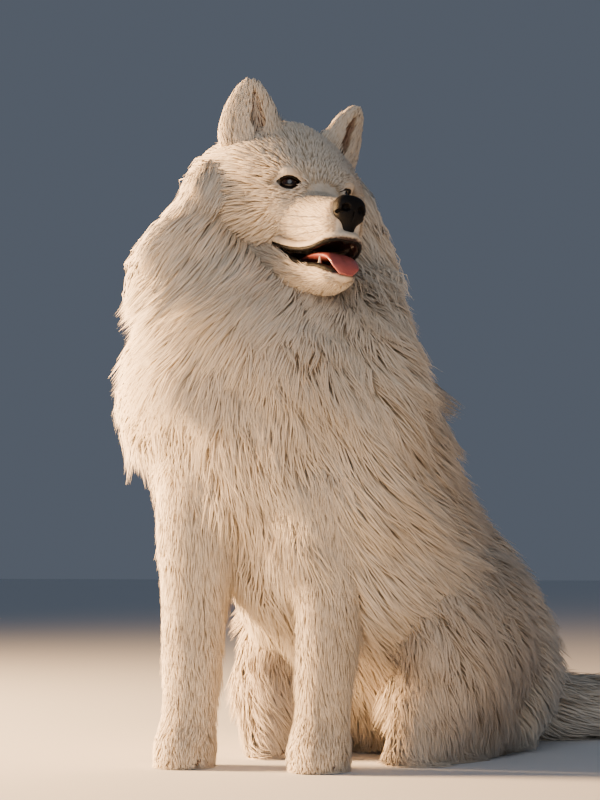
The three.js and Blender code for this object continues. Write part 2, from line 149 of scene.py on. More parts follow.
class Form:
    """A closed body form of rings along a line, as in the solids. A station is a ring's middle, its half width to
    the side, its reach towards angle 0 (front) and 180 (back), and its turn in degrees."""

    def __init__(self, ahead, stations, along=None, square=1.0, head=False):
        self.ahead = np.array(ahead)
        self.along = None if along is None else np.array(along)
        self.square = square
        self.head = head
        self.line = np.array([s[0] for s in stations], float)
        self.reach = np.array([s[1:4] for s in stations], float)
        self.turns = np.radians([s[4] if len(s) > 4 else 0 for s in stations])

    def point(self, t, angle):
        t, angle = np.broadcast_arrays(np.asarray(t, float), np.asarray(angle, float))
        shape = t.shape
        t, angle = np.clip(t, 0, 1).ravel(), angle.ravel()
        if self.along is None:
            normal = unit(spline(self.line, t + 1e-4) - spline(self.line, t - 1e-4))
        else:
            normal = np.broadcast_to(self.along, (len(t), 3))
        side, front, back = spline(self.reach, t).T
        turn = np.interp(t * (len(self.turns) - 1), np.arange(len(self.turns)), self.turns)[:, None]
        ahead = unit(self.ahead - normal * (normal @ self.ahead)[:, None])
        ahead = ahead * np.cos(turn) + np.cross(normal, ahead) * np.sin(turn)
        left = np.cross(normal, ahead)
        c, s = (np.sign(v) * np.abs(v) ** self.square for v in (np.cos(angle), np.sin(angle)))
        reach = np.where(c > 0, front, back)
        made = spline(self.line, t) + left * (side * s)[:, None] + ahead * (reach * c)[:, None]
        return made.reshape(shape + (3,))

    def normal(self, t, angle):
        u = np.clip(t, 0.02, 0.98)
        around = self.point(t, angle + 0.05) - self.point(t, angle - 0.05)
        onward = self.point(u + 0.01, angle) - self.point(u - 0.01, angle)
        return unit(np.cross(around, onward))

    def offset(self, t, angle, out):
        return self.point(t, angle) + self.normal(t, angle) * np.asarray(out)[..., None]

    def stretch(self, t, angle):
        u = np.clip(t, 0.02, 0.98)
        return np.linalg.norm(self.point(u + 0.01, angle) - self.point(u - 0.01, angle), axis=-1) / 0.02

    def around(self, t, angle):
        return np.linalg.norm(self.point(t, angle + 0.02) - self.point(t, angle - 0.02), axis=-1) / 0.04

    def mesh(self, rings, sides, out=0.0, shape=None):
        """Its closed surface as (points in metres, triangles). out may be a function of t and the angle."""
        t, angle = np.meshgrid(np.linspace(0, 1, rings + 1), np.arange(sides) / sides * TURN, indexing="ij")
        points = self.offset(t, angle, out(t, angle) if callable(out) else np.full(t.shape, float(out)))
        if shape is not None:
            points = shape(points, t, angle)
        points = points.reshape(-1, 3)
        points = np.vstack([points, points[:sides].mean(axis=0), points[-sides:].mean(axis=0)])
        quads, ends = sleeve(rings + 1, sides)
        triangles = triangles_of([quads[:, [0, 3, 2, 1]], ends[:, [0, 2, 1]]])
        return (in_head(points) if self.head else points) * MM, triangles


TRUNK = Form(AHEAD, along=UP, square=0.85, stations=[
    ((0, -30, 0), 122, 130, 122), ((4, -30, 45), 152, 186, 168), ((0, -45, 110), 160, 238, 192),
    ((-8, -110, 190), 158, 276, 238), ((-24, -215, 270), 160, 208, 290, 4), ((-42, -320, 350), 180, 144, 330, 10),
    ((-48, -345, 430), 186, 136, 232, 14), ((-50, -350, 500), 171, 132, 172, 25),
    ((-53, -350, 560), 165, 120, 135, 48), ((-58, -342, 615), 174, 86, 114, 61),
    ((-32, -352, 680), 142, 48, 94, 61), ((-36, -352, 725), 112, 36, 70, 61), ((-36, -352, 754), 50, 16, 34, 61),
])
TAIL = Form(UP, [
    ((20, 96, 62), 46, 40, 44), ((62, 158, 48), 62, 42, 47), ((122, 214, 42), 72, 38, 41),
    ((198, 262, 40), 74, 36, 39), ((282, 298, 38), 60, 33, 37), ((344, 318, 34), 26, 22, 26),
])


def foreleg_place(side):
    """Where a foreleg stands, and the turn of both in radians."""
    turn = math.radians(FORELEG["turn"])
    across = side * FORELEG["spread"]
    return FORELEG["x"] + across * math.cos(turn), FORELEG["y"] + across * math.sin(turn), turn


def foreleg(side):
    x, y, _ = foreleg_place(side)
    rings = [
        (0, -6, 0, 35, 44, 34), (0, -4, 26, 36, 42, 34), (0, 2, 62, 32, 33, 36), (0, 6, 120, 34, 34, 44),
        (1, 10, 190, 38, 38, 56), (2, 16, 260, 48, 48, 68), (4, 26, 330, 56, 60, 76), (8, 38, 395, 40, 44, 50),
    ]
    return Form(AHEAD, along=UP, stations=[
        ((x - side * inwards, y + back, z), wide, front, rear, FORELEG["turn"])
        for inwards, back, z, wide, front, rear in rings
    ])


def hindleg(side):
    rings = [
        (98, -165, 0, 44, 138, 110), (104, -160, 40, 56, 142, 130), (110, -150, 100, 68, 146, 150),
        (104, -142, 165, 68, 138, 150), (88, -135, 225, 56, 110, 120), (66, -130, 268, 28, 60, 60),
    ]
    return Form(AHEAD, along=UP, square=0.9, stations=[
        ((side * x, y, z), wide, front, back) for x, y, z, wide, front, back in rings
    ])


SKULL = Form(UP, along=BACKWARD, head=True, stations=[
    ((0, -76, -4), 18, 12, 22), ((0, -62, -2), 46, 36, 46), ((0, -32, -2), 68, 68, 62), ((0, 5, 0), 84, 88, 74),
    ((0, 45, 0), 86, 88, 76), ((0, 85, 0), 60, 62, 56), ((0, 100, 0), 26, 28, 26),
])
MUZZLE = Form(UP, along=BACKWARD, square=0.85, head=True, stations=[
    ((0, -139, -44), 16, 18, 18), ((0, -129, -43), 25, 27, 23), ((0, -111, -42), 31, 30, 31),
    ((0, -90, -41), 36, 33, 35), ((0, -68, -38), 42, 38, 36), ((0, -45, -34), 47, 40, 34),
    ((0, -18, -28), 52, 42, 36),
])
JAW = Form(UP, along=BACKWARD, square=0.85, head=True, stations=[
    ((0, -138, -106), 8, 4, 5), ((0, -130, -104), 18, 7, 11), ((0, -112, -102), 24, 10, 16),
    ((0, -90, -98), 30, 11, 22), ((0, -66, -92), 35, 14, 26), ((0, -44, -86), 40, 18, 28),
    ((0, -15, -78), 44, 22, 34),
])
GAPE = Form(UP, along=BACKWARD, square=0.3, head=True, stations=[
    ((0, -155, -84), 60, 26, 20), ((0, -134, -82), 60, 18, 18), ((0, -112, -82), 60, 9, 11),
    ((0, -90, -82), 60, 7, 9), ((0, -66, -76), 60, 4, 4), ((0, -47, -68), 60, 1, 1),
])
MOUTH = Form(UP, along=BACKWARD, square=0.85, head=True, stations=[
    ((0, -150, -84), 17, 18, 16), ((0, -132, -82), 17, 22, 17), ((0, -112, -82), 24, 22, 22),
    ((0, -88, -80), 28, 18, 20), ((0, -64, -76), 31, 12, 12), ((0, -50, -71), 26, 4, 4),
])
TONGUE = Form(UP, head=True, stations=[
    ((0, -58, -82), 14, 4, 4), ((0, -85, -80), 18, 5, 5), ((0, -112, -80), 20, 5, 5), ((0, -131, -84), 20, 5, 4),
    ((0, -142, -93), 18, 4, 4), ((0, -145, -102), 9, 3, 3),
])


def ear(side):
    turn = side * EAR_TURN
    return Form(AHEAD, along=UP, head=True, stations=[
        ((side * 50, 16, 40), 40, 16, 18, turn), ((side * 60, 14, 72), 37, 14, 15, turn),
        ((side * 67, 10, 100), 27, 10, 11, turn), ((side * 71, 6, 117), 16, 7, 7, turn),
        ((side * 73, 4, 126), 6, 3, 3, turn),
    ])


def ear_cup(side):
    turn = side * EAR_TURN
    return Form(AHEAD, along=UP, head=True, stations=[
        ((side * 57, -8, 50), 8, 10, 12, turn), ((side * 60, -4, 70), 12, 12, 16, turn),
        ((side * 65, -3, 93), 11, 9, 13, turn), ((side * 70, -2, 113), 6, 5, 6, turn),
    ])


# Cells of the distance fields, and how widely each form runs into the one before it, in metres.
CELL = {"body": 0.0054, "head": 0.0023, "nose": 0.0009}
BAND = 9.0  # how far a form's distances reach, in cells
BLEND = {
    "foreleg": 0.03, "hindleg": 0.02, "tail": 0.02, "muzzle": 0.016, "jaw": 0.006, "brow": 0.012, "cheek": 0.012,
    "lids": 0.004, "ear": 0.01, "lip": 0.005, "nose": 0.007,
}
HEAD_REACH = ((0.165, 0.165, 0.14), (0.165, 0.165, 0.15))  # of the head's fields, below and above its middle
SKIN_OFF_FLOOR, HAIR_OFF_FLOOR = 0.0006, 0.0003  # the least height of both, in metres

# Depth of the skin below each form's surface, in millimetres.
DEPTH = {"ruff": 31, "trunk": 26, "thigh": 20, "tail": 20, "skull": 5, "muzzle": 2, "ear": 2}
HAIR_ROUNDNESS = 0.5  # how much a tuft is shaded as a rounded strand, against as a patch of the coat
SWELL = 14  # how far the blended skin may swell over a form with hair still growing there


def trunk_depth(t, angle):
    rise = smooth_step(0.0, 0.06, t)
    return (DEPTH["trunk"] + (DEPTH["ruff"] - DEPTH["trunk"]) * smooth_step(0.58, 0.66, t)) * (0.4 + 0.6 * rise)


def foreleg_depth(t, angle):
    behind = smooth_step(0.2, -0.9, np.cos(angle))
    return 5 + 5 * smooth_step(0.25, 0.7, t) + behind * 15 * smooth_step(0.1, 0.4, t)


def thigh_depth(t, angle):
    return DEPTH["thigh"] * (0.35 + 0.65 * smooth_step(0.0, 0.3, t))


class Field:
    """Signed distances in metres on a box of cells, negative inside."""

    def __init__(self, low, high, cell):
        self.cell = cell
        self.low = np.floor(np.array(low) / cell).astype(int)
        self.shape = tuple(np.ceil(np.array(high) / cell).astype(int) - self.low)
        self.value = np.full(self.shape, 1.0, np.float32)

    def of_mesh(self, points, triangles):
        grid = openvdb.FloatGrid.createLevelSetFromPolygons(
            np.ascontiguousarray(points, np.float32),
            triangles=np.ascontiguousarray(triangles, np.uint32),
            transform=openvdb.createLinearTransform(voxelSize=self.cell),
            halfWidth=BAND,
        )
        held = np.zeros(self.shape, np.float32)
        grid.copyToArray(held, ijk=tuple(int(v) for v in self.low))
        return held

    def places(self):
        """The cells' places in the head's own frame, in millimetres."""
        axes = [(np.arange(n) + low) * self.cell / MM for n, low in zip(self.shape, self.low)]
        return from_dog(np.stack(np.meshgrid(*axes, indexing="ij"), axis=-1).astype(np.float32)).astype(np.float32)

    def add(self, other, blend):
        near = np.maximum(blend - np.abs(self.value - other), 0) / blend
        self.value = np.minimum(self.value, other) - near * near * blend / 4

    def cut(self, other):
        self.value = np.maximum(self.value, -other)

    def sample(self, points):
        place = np.asarray(points) / self.cell - self.low
        first = np.clip(np.floor(place).astype(int), 0, np.array(self.shape) - 2)
        share = np.clip(place - first, 0, 1)
        total = np.zeros(len(place))
        for corner in np.ndindex(2, 2, 2):
            weight = np.prod(np.where(corner, share, 1 - share), axis=1)
            at = first + corner
            total += weight * self.value[at[:, 0], at[:, 1], at[:, 2]]
        return total

    def surface(self):
        """Its surface as points in metres, quads and triangles, facing outwards."""
        grid = openvdb.FloatGrid(float(self.value.max()))
        grid.transform = openvdb.createLinearTransform(voxelSize=self.cell)
        grid.copyFromArray(self.value, ijk=tuple(int(v) for v in self.low))
        points, triangles, quads = grid.convertToPolygons(0.0, 0.0)
        corners = points[quads[:, :3]]
        volume = np.sum(np.cross(corners[:, 0], corners[:, 1]) * corners[:, 2])
        if volume < 0:
            quads, triangles = quads[:, ::-1], triangles[:, ::-1]
        return points, quads, triangles


# The lips' edges on one side, corner of the mouth to the front, in the head's frame.
UPPER_LIP = [
    (-45.5, -46, -67), (-41, -68, -72.5), (-36, -90, -75.5), (-31, -111, -74), (-24, -129, -67), (-12, -139, -63),
]
LOWER_LIP = [(-43.5, -43, -67), (-34.5, -64, -80), (-28.5, -92, -91), (-22, -118, -93.5), (-11, -137, -99)]

# The flesh behind each lip and its black edge: how far each lies below the lip's line and inwards, and its radius.
LIP_FLESH = ((UPPER_LIP, -4.5, 4.0, 5.6), (LOWER_LIP, 3.6, 2.5, 4.6))
LIP_EDGES = {"lip_upper": (UPPER_LIP, -0.6, 1.0, 2.7), "lip_lower": (LOWER_LIP, 0.4, 1.0, 3.6)}


def lip_path(half, lower=0.0, inward=0.0, knots=60):
    """Both halves of a lip's edge as one path in the head's frame, moved down and inwards if asked."""
    moved = [(x + inward, y, z - lower) for x, y, z in half]
    mirrored = [(-x, y, z) for x, y, z in reversed(moved)]
    return spline(np.array(moved + mirrored, float), np.linspace(0, 1, knots))


def ellipsoid_field(places, at, size):
    """Distance in metres to an ellipsoid, near enough for blending."""
    size = np.array(size, np.float32)
    reach = np.linalg.norm((places - np.array(at, np.float32)) / size, axis=-1)
    return (reach - 1) * size.min() * MM


def tube(path, radii, sides=10, closed=False):
    """A tube round a path of points, closed at its ends or running in a loop."""
    path = np.asarray(path, float)
    if closed:
        tangent = unit(np.roll(path, -1, axis=0) - np.roll(path, 1, axis=0))
    else:
        tangent = unit(np.gradient(path, axis=0))
    guide = np.array((0.1, 0.2, 1.0))
    side = unit(np.cross(tangent, guide))
    top = np.cross(side, tangent)
    angle = np.arange(sides) / sides * TURN
    radii = np.broadcast_to(radii, (len(path),))[:, None, None]
    rim = side[:, None] * np.cos(angle)[:, None] + top[:, None] * np.sin(angle)[:, None]
    points = (path[:, None] + rim * radii).reshape(-1, 3)
    if not closed:
        points = np.vstack([points, path[0], path[-1]])
    return points, sleeve(len(path), sides, closed)


@functools.lru_cache(None)
def body_field():
    low, high = (np.array(corner) for corner in CAD_BOX)
    field = Field(low - 0.02, high + 0.02, CELL["body"])
    field.value = field.of_mesh(*TRUNK.mesh(90, 96, out=lambda t, a: -trunk_depth(t, a)))
    for side in SIDES.values():
        leg = foreleg(side).mesh(50, 40, out=lambda t, a: -foreleg_depth(t, a))
        field.add(field.of_mesh(*leg), BLEND["foreleg"])
        leg = hindleg(side).mesh(50, 56, out=lambda t, a: -thigh_depth(t, a))
        field.add(field.of_mesh(*leg), BLEND["hindleg"])
    field.add(field.of_mesh(*TAIL.mesh(50, 40, out=-DEPTH["tail"])), BLEND["tail"])
    return field


def head_box():
    """An empty field round the head."""
    middle = np.array(HEAD["at"]) * MM
    return Field(middle - HEAD_REACH[0], middle + HEAD_REACH[1], CELL["head"])


def mirrored(at, side):
    return (side * at[0], *at[1:])


def eye_opening(places, side):
    """The almond between an eye's lids, and the ball behind it with room for the eye."""
    eye = places - np.array(mirrored(EYE["at"], side), np.float32)
    turn = math.radians(side * EYE["outward"])
    across = eye[..., 0] * math.cos(turn) + eye[..., 1] * math.sin(turn)
    inwards = -eye[..., 0] * math.sin(turn) + eye[..., 1] * math.cos(turn)
    lid = EYE["half_height"] * (1 - (across / EYE["half_width"]) ** 2)
    almond = np.maximum(np.abs(eye[..., 2]) - lid, inwards) * MM * 0.8
    return almond, (np.linalg.norm(eye, axis=-1) - EYE["radius"] - 0.4) * MM


@functools.lru_cache(None)
def head_fields():
    """The head's field, and the field of its mouth and eye openings."""
    head, opening = head_box(), head_box()
    head.value = head.of_mesh(*SKULL.mesh(40, 64, out=-DEPTH["skull"]))
    head.add(head.of_mesh(*MUZZLE.mesh(40, 48, out=-DEPTH["muzzle"])), BLEND["muzzle"])
    head.add(head.of_mesh(*JAW.mesh(40, 40, out=-DEPTH["muzzle"])), BLEND["jaw"])
    places = head.places()
    for side in SIDES.values():
        head.add(ellipsoid_field(places, mirrored(BROW["at"], side), BROW["size"]), BLEND["brow"])
        head.add(ellipsoid_field(places, mirrored(CHEEK["at"], side), CHEEK["size"]), BLEND["cheek"])
        head.add(ellipsoid_field(places, mirrored(EYE["at"], side), [EYE["lids"]] * 3), BLEND["lids"])
        head.add(head.of_mesh(*ear(side).mesh(40, 48, out=-DEPTH["ear"])), BLEND["ear"])
    opening.value = np.minimum(head.of_mesh(*GAPE.mesh(40, 48)), head.of_mesh(*MOUTH.mesh(30, 40)))
    head.cut(opening.value)
    for half, lower, inward, radius in LIP_FLESH:
        points, faces = tube(in_head(lip_path(half, lower, inward)) * MM, radius * MM)
        head.add(head.of_mesh(points, triangles_of(faces)), BLEND["lip"])
    for side in SIDES.values():
        head.cut(head.of_mesh(*ear_cup(side).mesh(30, 36)))
        almond, ball_room = eye_opening(places, side)
        head.cut(np.minimum(almond, ball_room))
        opening.value = np.minimum(opening.value, almond)
    return head, opening


def mesh_object(name, points, faces, attributes=None, normals=None):
    """A mesh object from points in metres and arrays of faces, each array with one number of corners."""
    mesh = bpy.data.meshes.new(name)
    faces = [np.asarray(f) for f in faces if len(f)]
    sizes = np.concatenate([np.full(len(f), f.shape[1]) for f in faces])
    mesh.vertices.add(len(points))
    mesh.vertices.foreach_set("co", np.asarray(points, np.float32).ravel())
    mesh.loops.add(int(sizes.sum()))
    mesh.loops.foreach_set("vertex_index", np.concatenate([f.ravel() for f in faces]).astype(np.int32))
    mesh.polygons.add(len(sizes))
    mesh.polygons.foreach_set("loop_start", (np.cumsum(sizes) - sizes).astype(np.int32))
    mesh.update(calc_edges=True)
    mesh.shade_smooth()
    for key, values in (attributes or {}).items():
        values = np.asarray(values, np.float32)
        kind, field = ("FLOAT_VECTOR", "vector") if values.ndim == 2 else ("FLOAT", "value")
        mesh.attributes.new(key, kind, "POINT").data.foreach_set(field, values.ravel())
    if normals is not None:
        mesh.normals_split_custom_set_from_vertices(np.asarray(normals, np.float32))
    made = bpy.data.objects.new(name, mesh)
    bpy.context.scene.collection.objects.link(made)
    return made


def finish_piece(made, material, replaces=()):
    made.data.materials.clear()
    made.data.materials.append(material)
    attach(made, "root")
    if replaces:
        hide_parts(*replaces)
    return made


def add_node(tree, kind, settings=None, values=None):
    """A new node with its settings, and a value or a link for each of its sockets."""
    made = tree.nodes.new(kind)
    for key, value in (settings or {}).items():
        setattr(made, key, value)
    for key, value in (values or {}).items():
        value = value.socket if isinstance(value, Wire) else value
        if isinstance(value, bpy.types.NodeSocket):
            tree.links.new(value, made.inputs[key])
        else:
            made.inputs[key].default_value = value
    return made


class Wire:
    """A socket of a material's nodes that Python's operators act on."""

    def __init__(self, finish, socket):
        self.finish = finish
        self.socket = socket

    def __add__(self, other):
        return self.finish.maths("ADD", self, other)

    def __rsub__(self, other):
        return self.finish.maths("SUBTRACT", other, self)

    def __mul__(self, other):
        return self.finish.maths("MULTIPLY", self, other)

    __radd__ = __add__
    __rmul__ = __mul__


class Finish:
    """One material and its shader."""

    def __init__(self, name):
        self.material = bpy.data.materials.new(name)
        self.material.use_nodes = True
        self.tree = self.material.node_tree
        self.shader = next(n for n in self.tree.nodes if n.type == "BSDF_PRINCIPLED")

    def node(self, kind, settings=None, values=None):
        return add_node(self.tree, kind, settings, values)

    def maths(self, operation, a, b):
        made = self.node("ShaderNodeMath", {"operation": operation}, {0: a, 1: b})
        return Wire(self, made.outputs[0])

    def mix(self, share, a, b):
        made = self.node("ShaderNodeMix", {"data_type": "RGBA"}, {0: share, 6: a, 7: b})
        return Wire(self, made.outputs[2])

    def stretch(self, value, low, high):
        made = self.node("ShaderNodeMapRange", {"interpolation_type": "SMOOTHSTEP"}, {0: value, 1: low, 2: high})
        return Wire(self, made.outputs[0])

    def place(self):
        return Wire(self, self.node("ShaderNodeTexCoord").outputs["Object"])

    def noise(self, scale, detail=3.0):
        made = self.node("ShaderNodeTexNoise", None, {"Vector": self.place(), "Scale": scale, "Detail": detail})
        return Wire(self, made.outputs[0])

    def cells(self, scale):
        made = self.node("ShaderNodeTexVoronoi", None, {"Vector": self.place(), "Scale": scale})
        return Wire(self, made.outputs["Distance"])

    def attribute(self, name):
        made = self.node("ShaderNodeAttribute", {"attribute_type": "GEOMETRY", "attribute_name": name})
        return Wire(self, made.outputs["Fac"])

    def attribute_parts(self, name):
        read = self.node("ShaderNodeAttribute", {"attribute_type": "GEOMETRY", "attribute_name": name})
        parts = self.node("ShaderNodeSeparateXYZ", None, {0: Wire(self, read.outputs["Vector"])})
        return [Wire(self, socket) for socket in parts.outputs]

    def bump(self, height, strength, distance):
        made = self.node("ShaderNodeBump", None, {"Height": height, "Strength": strength, "Distance": distance})
        self.set("Normal", Wire(self, made.outputs[0]))

    def set(self, name, value):
        if isinstance(value, Wire):
            self.tree.links.new(value.socket, self.shader.inputs[name])
        else:
            self.shader.inputs[name].default_value = value


def rgb(colour, gain=1.0):
    return (*(min(1.0, c * gain) for c in colour), 1.0)


# Pairs of tones, darker and lighter, that need no setting.
# The ear cups' skin: dark brown as painted shade in the hollow of the ear.
CUP_SHADE_TONES = (0.09, 0.04, 0.025, 1), (0.20, 0.10, 0.06, 1)
# The mouth's lining: near-black, painted shade inside the open mouth with some of the gums' dark pigment.
MOUTH_SHADE_AND_PIGMENT_TONES = (0.008, 0.004, 0.004, 1), (0.035, 0.012, 0.011, 1)
ENAMEL_TONES = (0.62, 0.54, 0.40, 1), (0.80, 0.75, 0.64, 1)
CLAW_TONES = (0.05, 0.035, 0.03, 1), (0.22, 0.16, 0.12, 1)
WHISKER_TONES = (0.55, 0.50, 0.42, 1), (0.80, 0.77, 0.70, 1)
PUPIL, IRIS_RIM, EYE_WHITE = (0.002, 0.002, 0.002, 1), (0.006, 0.004, 0.003, 1), (0.05, 0.03, 0.025, 1)
# The angles from the middle of the gaze, in radians, over which one of these passes into the next.
PUPIL_EDGE, IRIS_EDGE, WHITE_EDGE = (0.26, 0.31), (0.78, 0.88), (1.02, 1.12)


def coat_finish(settings):
    """Cream-white hair: darker and warmer towards the root as painted shade between the tufts, warmer in random soft
    patches, clean at the tip, each tuft a little different.
    """
    finish = Finish("coat hair")
    chance, along, mark = finish.attribute_parts("hair")
    # Darker towards the root: painted shade between the tufts near the skin.
    hair = finish.mix(finish.stretch(along, 0.0, 0.85), rgb(settings.root_shade_and_cream_colour), rgb(settings.tip_colour))
    patch = finish.stretch(finish.noise(7.0, 2.0), 0.45, 0.75)
    hair = finish.mix(patch * 0.22 + chance * 0.2, hair, rgb(settings.root_shade_and_cream_colour, 1.12))
    # Towards brown by mark: partly the hair's real tan, and painted shade inside the far left ear and on both
    # thighs.
    hair = finish.mix(mark, hair, rgb(settings.tone_and_shade_colour))
    finish.set("Base Color", hair)
    finish.set("Roughness", 0.62 + 0.2 * chance)
    finish.set("Specular IOR Level", 0.25)
    return finish.material


def skin_finish(settings):
    """Pale skin with a nap of short hair; dark brown inside the ear cups, painted shade in their hollows; near-black
    and wet where it lines the open mouth, painted shade with some of the gums' dark pigment.
    """
    finish = Finish("skin and nap")
    mouth, cup, _ = finish.attribute_parts("shaded_lining")
    nap = finish.mix(finish.noise(90.0), rgb(settings.root_shade_and_cream_colour), rgb(settings.tip_colour))
    # Painted shade in the ear cups' hollows.
    cup_shade = finish.mix(finish.noise(40.0), *CUP_SHADE_TONES)
    # Near-black inside the mouth: painted shade, with some of the gums' dark pigment.
    shaded_lining = finish.mix(finish.noise(60.0), *MOUTH_SHADE_AND_PIGMENT_TONES)
    finish.set("Base Color", finish.mix(mouth, finish.mix(cup, nap, cup_shade), shaded_lining))
    finish.set("Roughness", 0.75 - 0.4 * mouth)
    finish.bump(finish.noise(450.0, 2.0), 0.4, 0.001)
    return finish.material


def leather_finish(settings):
    """The black, pebbled, damp leather of the nose, lips and lids."""
    finish = Finish("black leather")
    pebbles = finish.cells(900.0)
    tones = rgb(settings.leather_colour), rgb(settings.leather_colour, 2.2)
    finish.set("Base Color", finish.mix(finish.noise(130.0), *tones))
    finish.set("Roughness", 0.45 + 0.25 * finish.noise(300.0))
    finish.set("Specular IOR Level", 0.2)
    finish.bump(pebbles, 0.5, 0.0006)
    return finish.material


def eye_finish(settings):
    """A dark brown iris round a black pupil, under a wet cornea."""
    finish = Finish("eye")
    out = finish.attribute("gaze")
    iris = finish.mix(finish.noise(700.0), rgb(settings.eye_colour), rgb(settings.eye_colour, 1.5))
    colour = finish.mix(finish.stretch(out, *PUPIL_EDGE), PUPIL, iris)
    colour = finish.mix(finish.stretch(out, *IRIS_EDGE), colour, IRIS_RIM)
    finish.set("Base Color", finish.mix(finish.stretch(out, *WHITE_EDGE), colour, EYE_WHITE))
    finish.set("Roughness", 0.12 + 0.05 * finish.noise(90.0))
    finish.set("Coat Weight", 0.5)
    finish.set("Coat Roughness", 0.05)
    return finish.material


def tongue_finish(settings):
    finish = Finish("tongue")
    grain = finish.noise(900.0, 1.0)
    tones = rgb(settings.tongue_colour), rgb(settings.tongue_colour, 1.35)
    finish.set("Base Color", finish.mix(finish.noise(60.0), *tones))
    finish.set("Roughness", 0.3 + 0.15 * grain)
    finish.set("Coat Weight", 0.4)
    finish.bump(grain, 0.5, 0.0008)
    return finish.material


def horn_finish(name, tones, roughness):
    """Horn, enamel or bristle, from a darker to a lighter tone in fine streaks."""
    finish = Finish(name)
    grain = finish.noise(220.0)
    finish.set("Base Color", finish.mix(grain, *tones))
    finish.set("Roughness", roughness + 0.15 * grain)
    return finish.material


def build_skin(settings):
    body = body_field()
    head, opening = head_fields()
    body_points, body_quads, body_triangles = body.surface()
    head_points, head_quads, head_triangles = head.surface()
    body_points[:, 2] = np.maximum(body_points[:, 2], SKIN_OFF_FLOOR)
    shift = len(body_points)
    # Masks where the skin is painted dark: inside the open mouth, painted shade with some dark pigment, and the ear
    # cups' hollows, painted shade.
    shaded_lining = np.zeros((shift + len(head_points), 3))
    below_nose = from_dog(head_points / MM)[:, 2] < -45
    shaded_lining[shift:, 0] = smooth_step(0.0025, 0.0008, opening.sample(head_points)) * below_nose
    for side in SIDES.values():
        cup = head_box()
        cup.value = cup.of_mesh(*ear_cup(side).mesh(30, 36))
        shaded_lining[shift:, 1] = np.maximum(shaded_lining[shift:, 1], smooth_step(0.003, 0.0, cup.sample(head_points)))
    faces = [np.vstack([body_quads, head_quads + shift]), body_triangles, head_triangles + shift]
    made = mesh_object("skin", np.vstack([body_points, head_points]), faces, {"shaded_lining": shaded_lining})
    replaced = ["torso", "neck", "head", "jaw", "tail"]
    replaced += [part + side for part in ("ear_", "hindleg_", "foreleg_") for side in SIDES]
    finish_piece(made, skin_finish(settings), replaced)


def ball(radius, rings=32, sides=48):
    """A sphere about +Z as points and faces, with each point's angle from the axis over a half turn."""
    angle = np.linspace(0, math.pi, rings + 1)[1:-1]
    level, around = np.meshgrid(angle, np.arange(sides) / sides * TURN, indexing="ij")
    points = np.stack([np.sin(level) * np.cos(around), np.sin(level) * np.sin(around), np.cos(level)], axis=-1)
    points = np.vstack([points.reshape(-1, 3), [(0, 0, 1), (0, 0, -1)]]) * radius
    return points, sleeve(rings - 1, sides), np.concatenate([level.ravel(), [0, math.pi]])


def eye_axes(side):
    """An eye's sideways axis, upward axis and gaze, in the head's frame."""
    turn = math.radians(side * EYE["outward"])
    across = np.array((math.cos(turn), math.sin(turn), 0))
    gaze = np.array((math.sin(turn), -math.cos(turn), 0))
    return across, np.array((0, 0, 1.0)), gaze


def build_eyes(settings):
    glass = eye_finish(settings)
    rims = leather_finish(settings)
    for name, side in SIDES.items():
        across, up, gaze = eye_axes(side)
        middle = np.array(mirrored(EYE["at"], side))
        points, faces, angle = ball(EYE["radius"])
        points = middle + points @ np.stack([across, np.cross(gaze, across), gaze])
        eye = mesh_object("eyeball_" + name, in_head(points) * MM, faces, {"gaze": angle})
        finish_piece(eye, glass, ["eye_" + name])
        share = np.linspace(0, TURN, 48, endpoint=False)
        wide = EYE["half_width"] * np.cos(share)
        high = np.sign(np.sin(share)) * EYE["half_height"] * np.abs(np.sin(share)) ** 1.3
        forward = np.sqrt(np.maximum((EYE["lids"] + 0.1) ** 2 - wide**2 - high**2, 30.0))
        path = middle + across * wide[:, None] + up * high[:, None] + gaze * forward[:, None]
        radii = 1.0 + 0.7 * np.abs(np.sin(share)) + 0.3 * np.maximum(np.sin(share), 0)  # thickest on the upper lid
        points, faces = tube(path, radii, closed=True)
        lid = mesh_object("lid_rim_" + name, in_head(points) * MM, faces)
        finish_piece(lid, rims)


def build_nose(settings):
    """A rounded box with a stem down to the lip, its nostrils, the slits that curl out of them, and its groove."""
    middle = in_head([NOSE["at"]])[0] * MM
    field = Field(middle - 0.046, middle + 0.034, CELL["nose"])
    places = field.places()
    offset = (places - np.array(NOSE["at"], np.float32)) / np.array(NOSE["size"], np.float32)
    boxed = np.sum(np.abs(offset) ** 2.5, axis=-1) ** (1 / 2.5)
    field.value = ((boxed - 1) * NOSE["size"][1] * MM).astype(np.float32)
    field.add(ellipsoid_field(places, (0, -136, -52), (8, 5.5, 14)), BLEND["nose"])
    for side in SIDES.values():
        field.cut(ellipsoid_field(places, (side * 10, -145, -26), (5.2, 8, 4.4)))
        for k in range(5):
            slit = (side * (12 + 1.6 * k), -145 + 1.3 * k, -28.5 - 0.9 * k)
            field.cut(ellipsoid_field(places, slit, (2.6, 4.5, 1.9)))
    groove = np.maximum(np.abs(places[..., 0]) - 0.7, np.abs(places[..., 2] + 38) - 10)
    field.cut(np.maximum(groove, places[..., 1] + 143.2) * MM)
    points, quads, triangles = field.surface()
    made = mesh_object("nose_leather", points, [quads, triangles])
    finish_piece(made, leather_finish(settings), ["nose"])


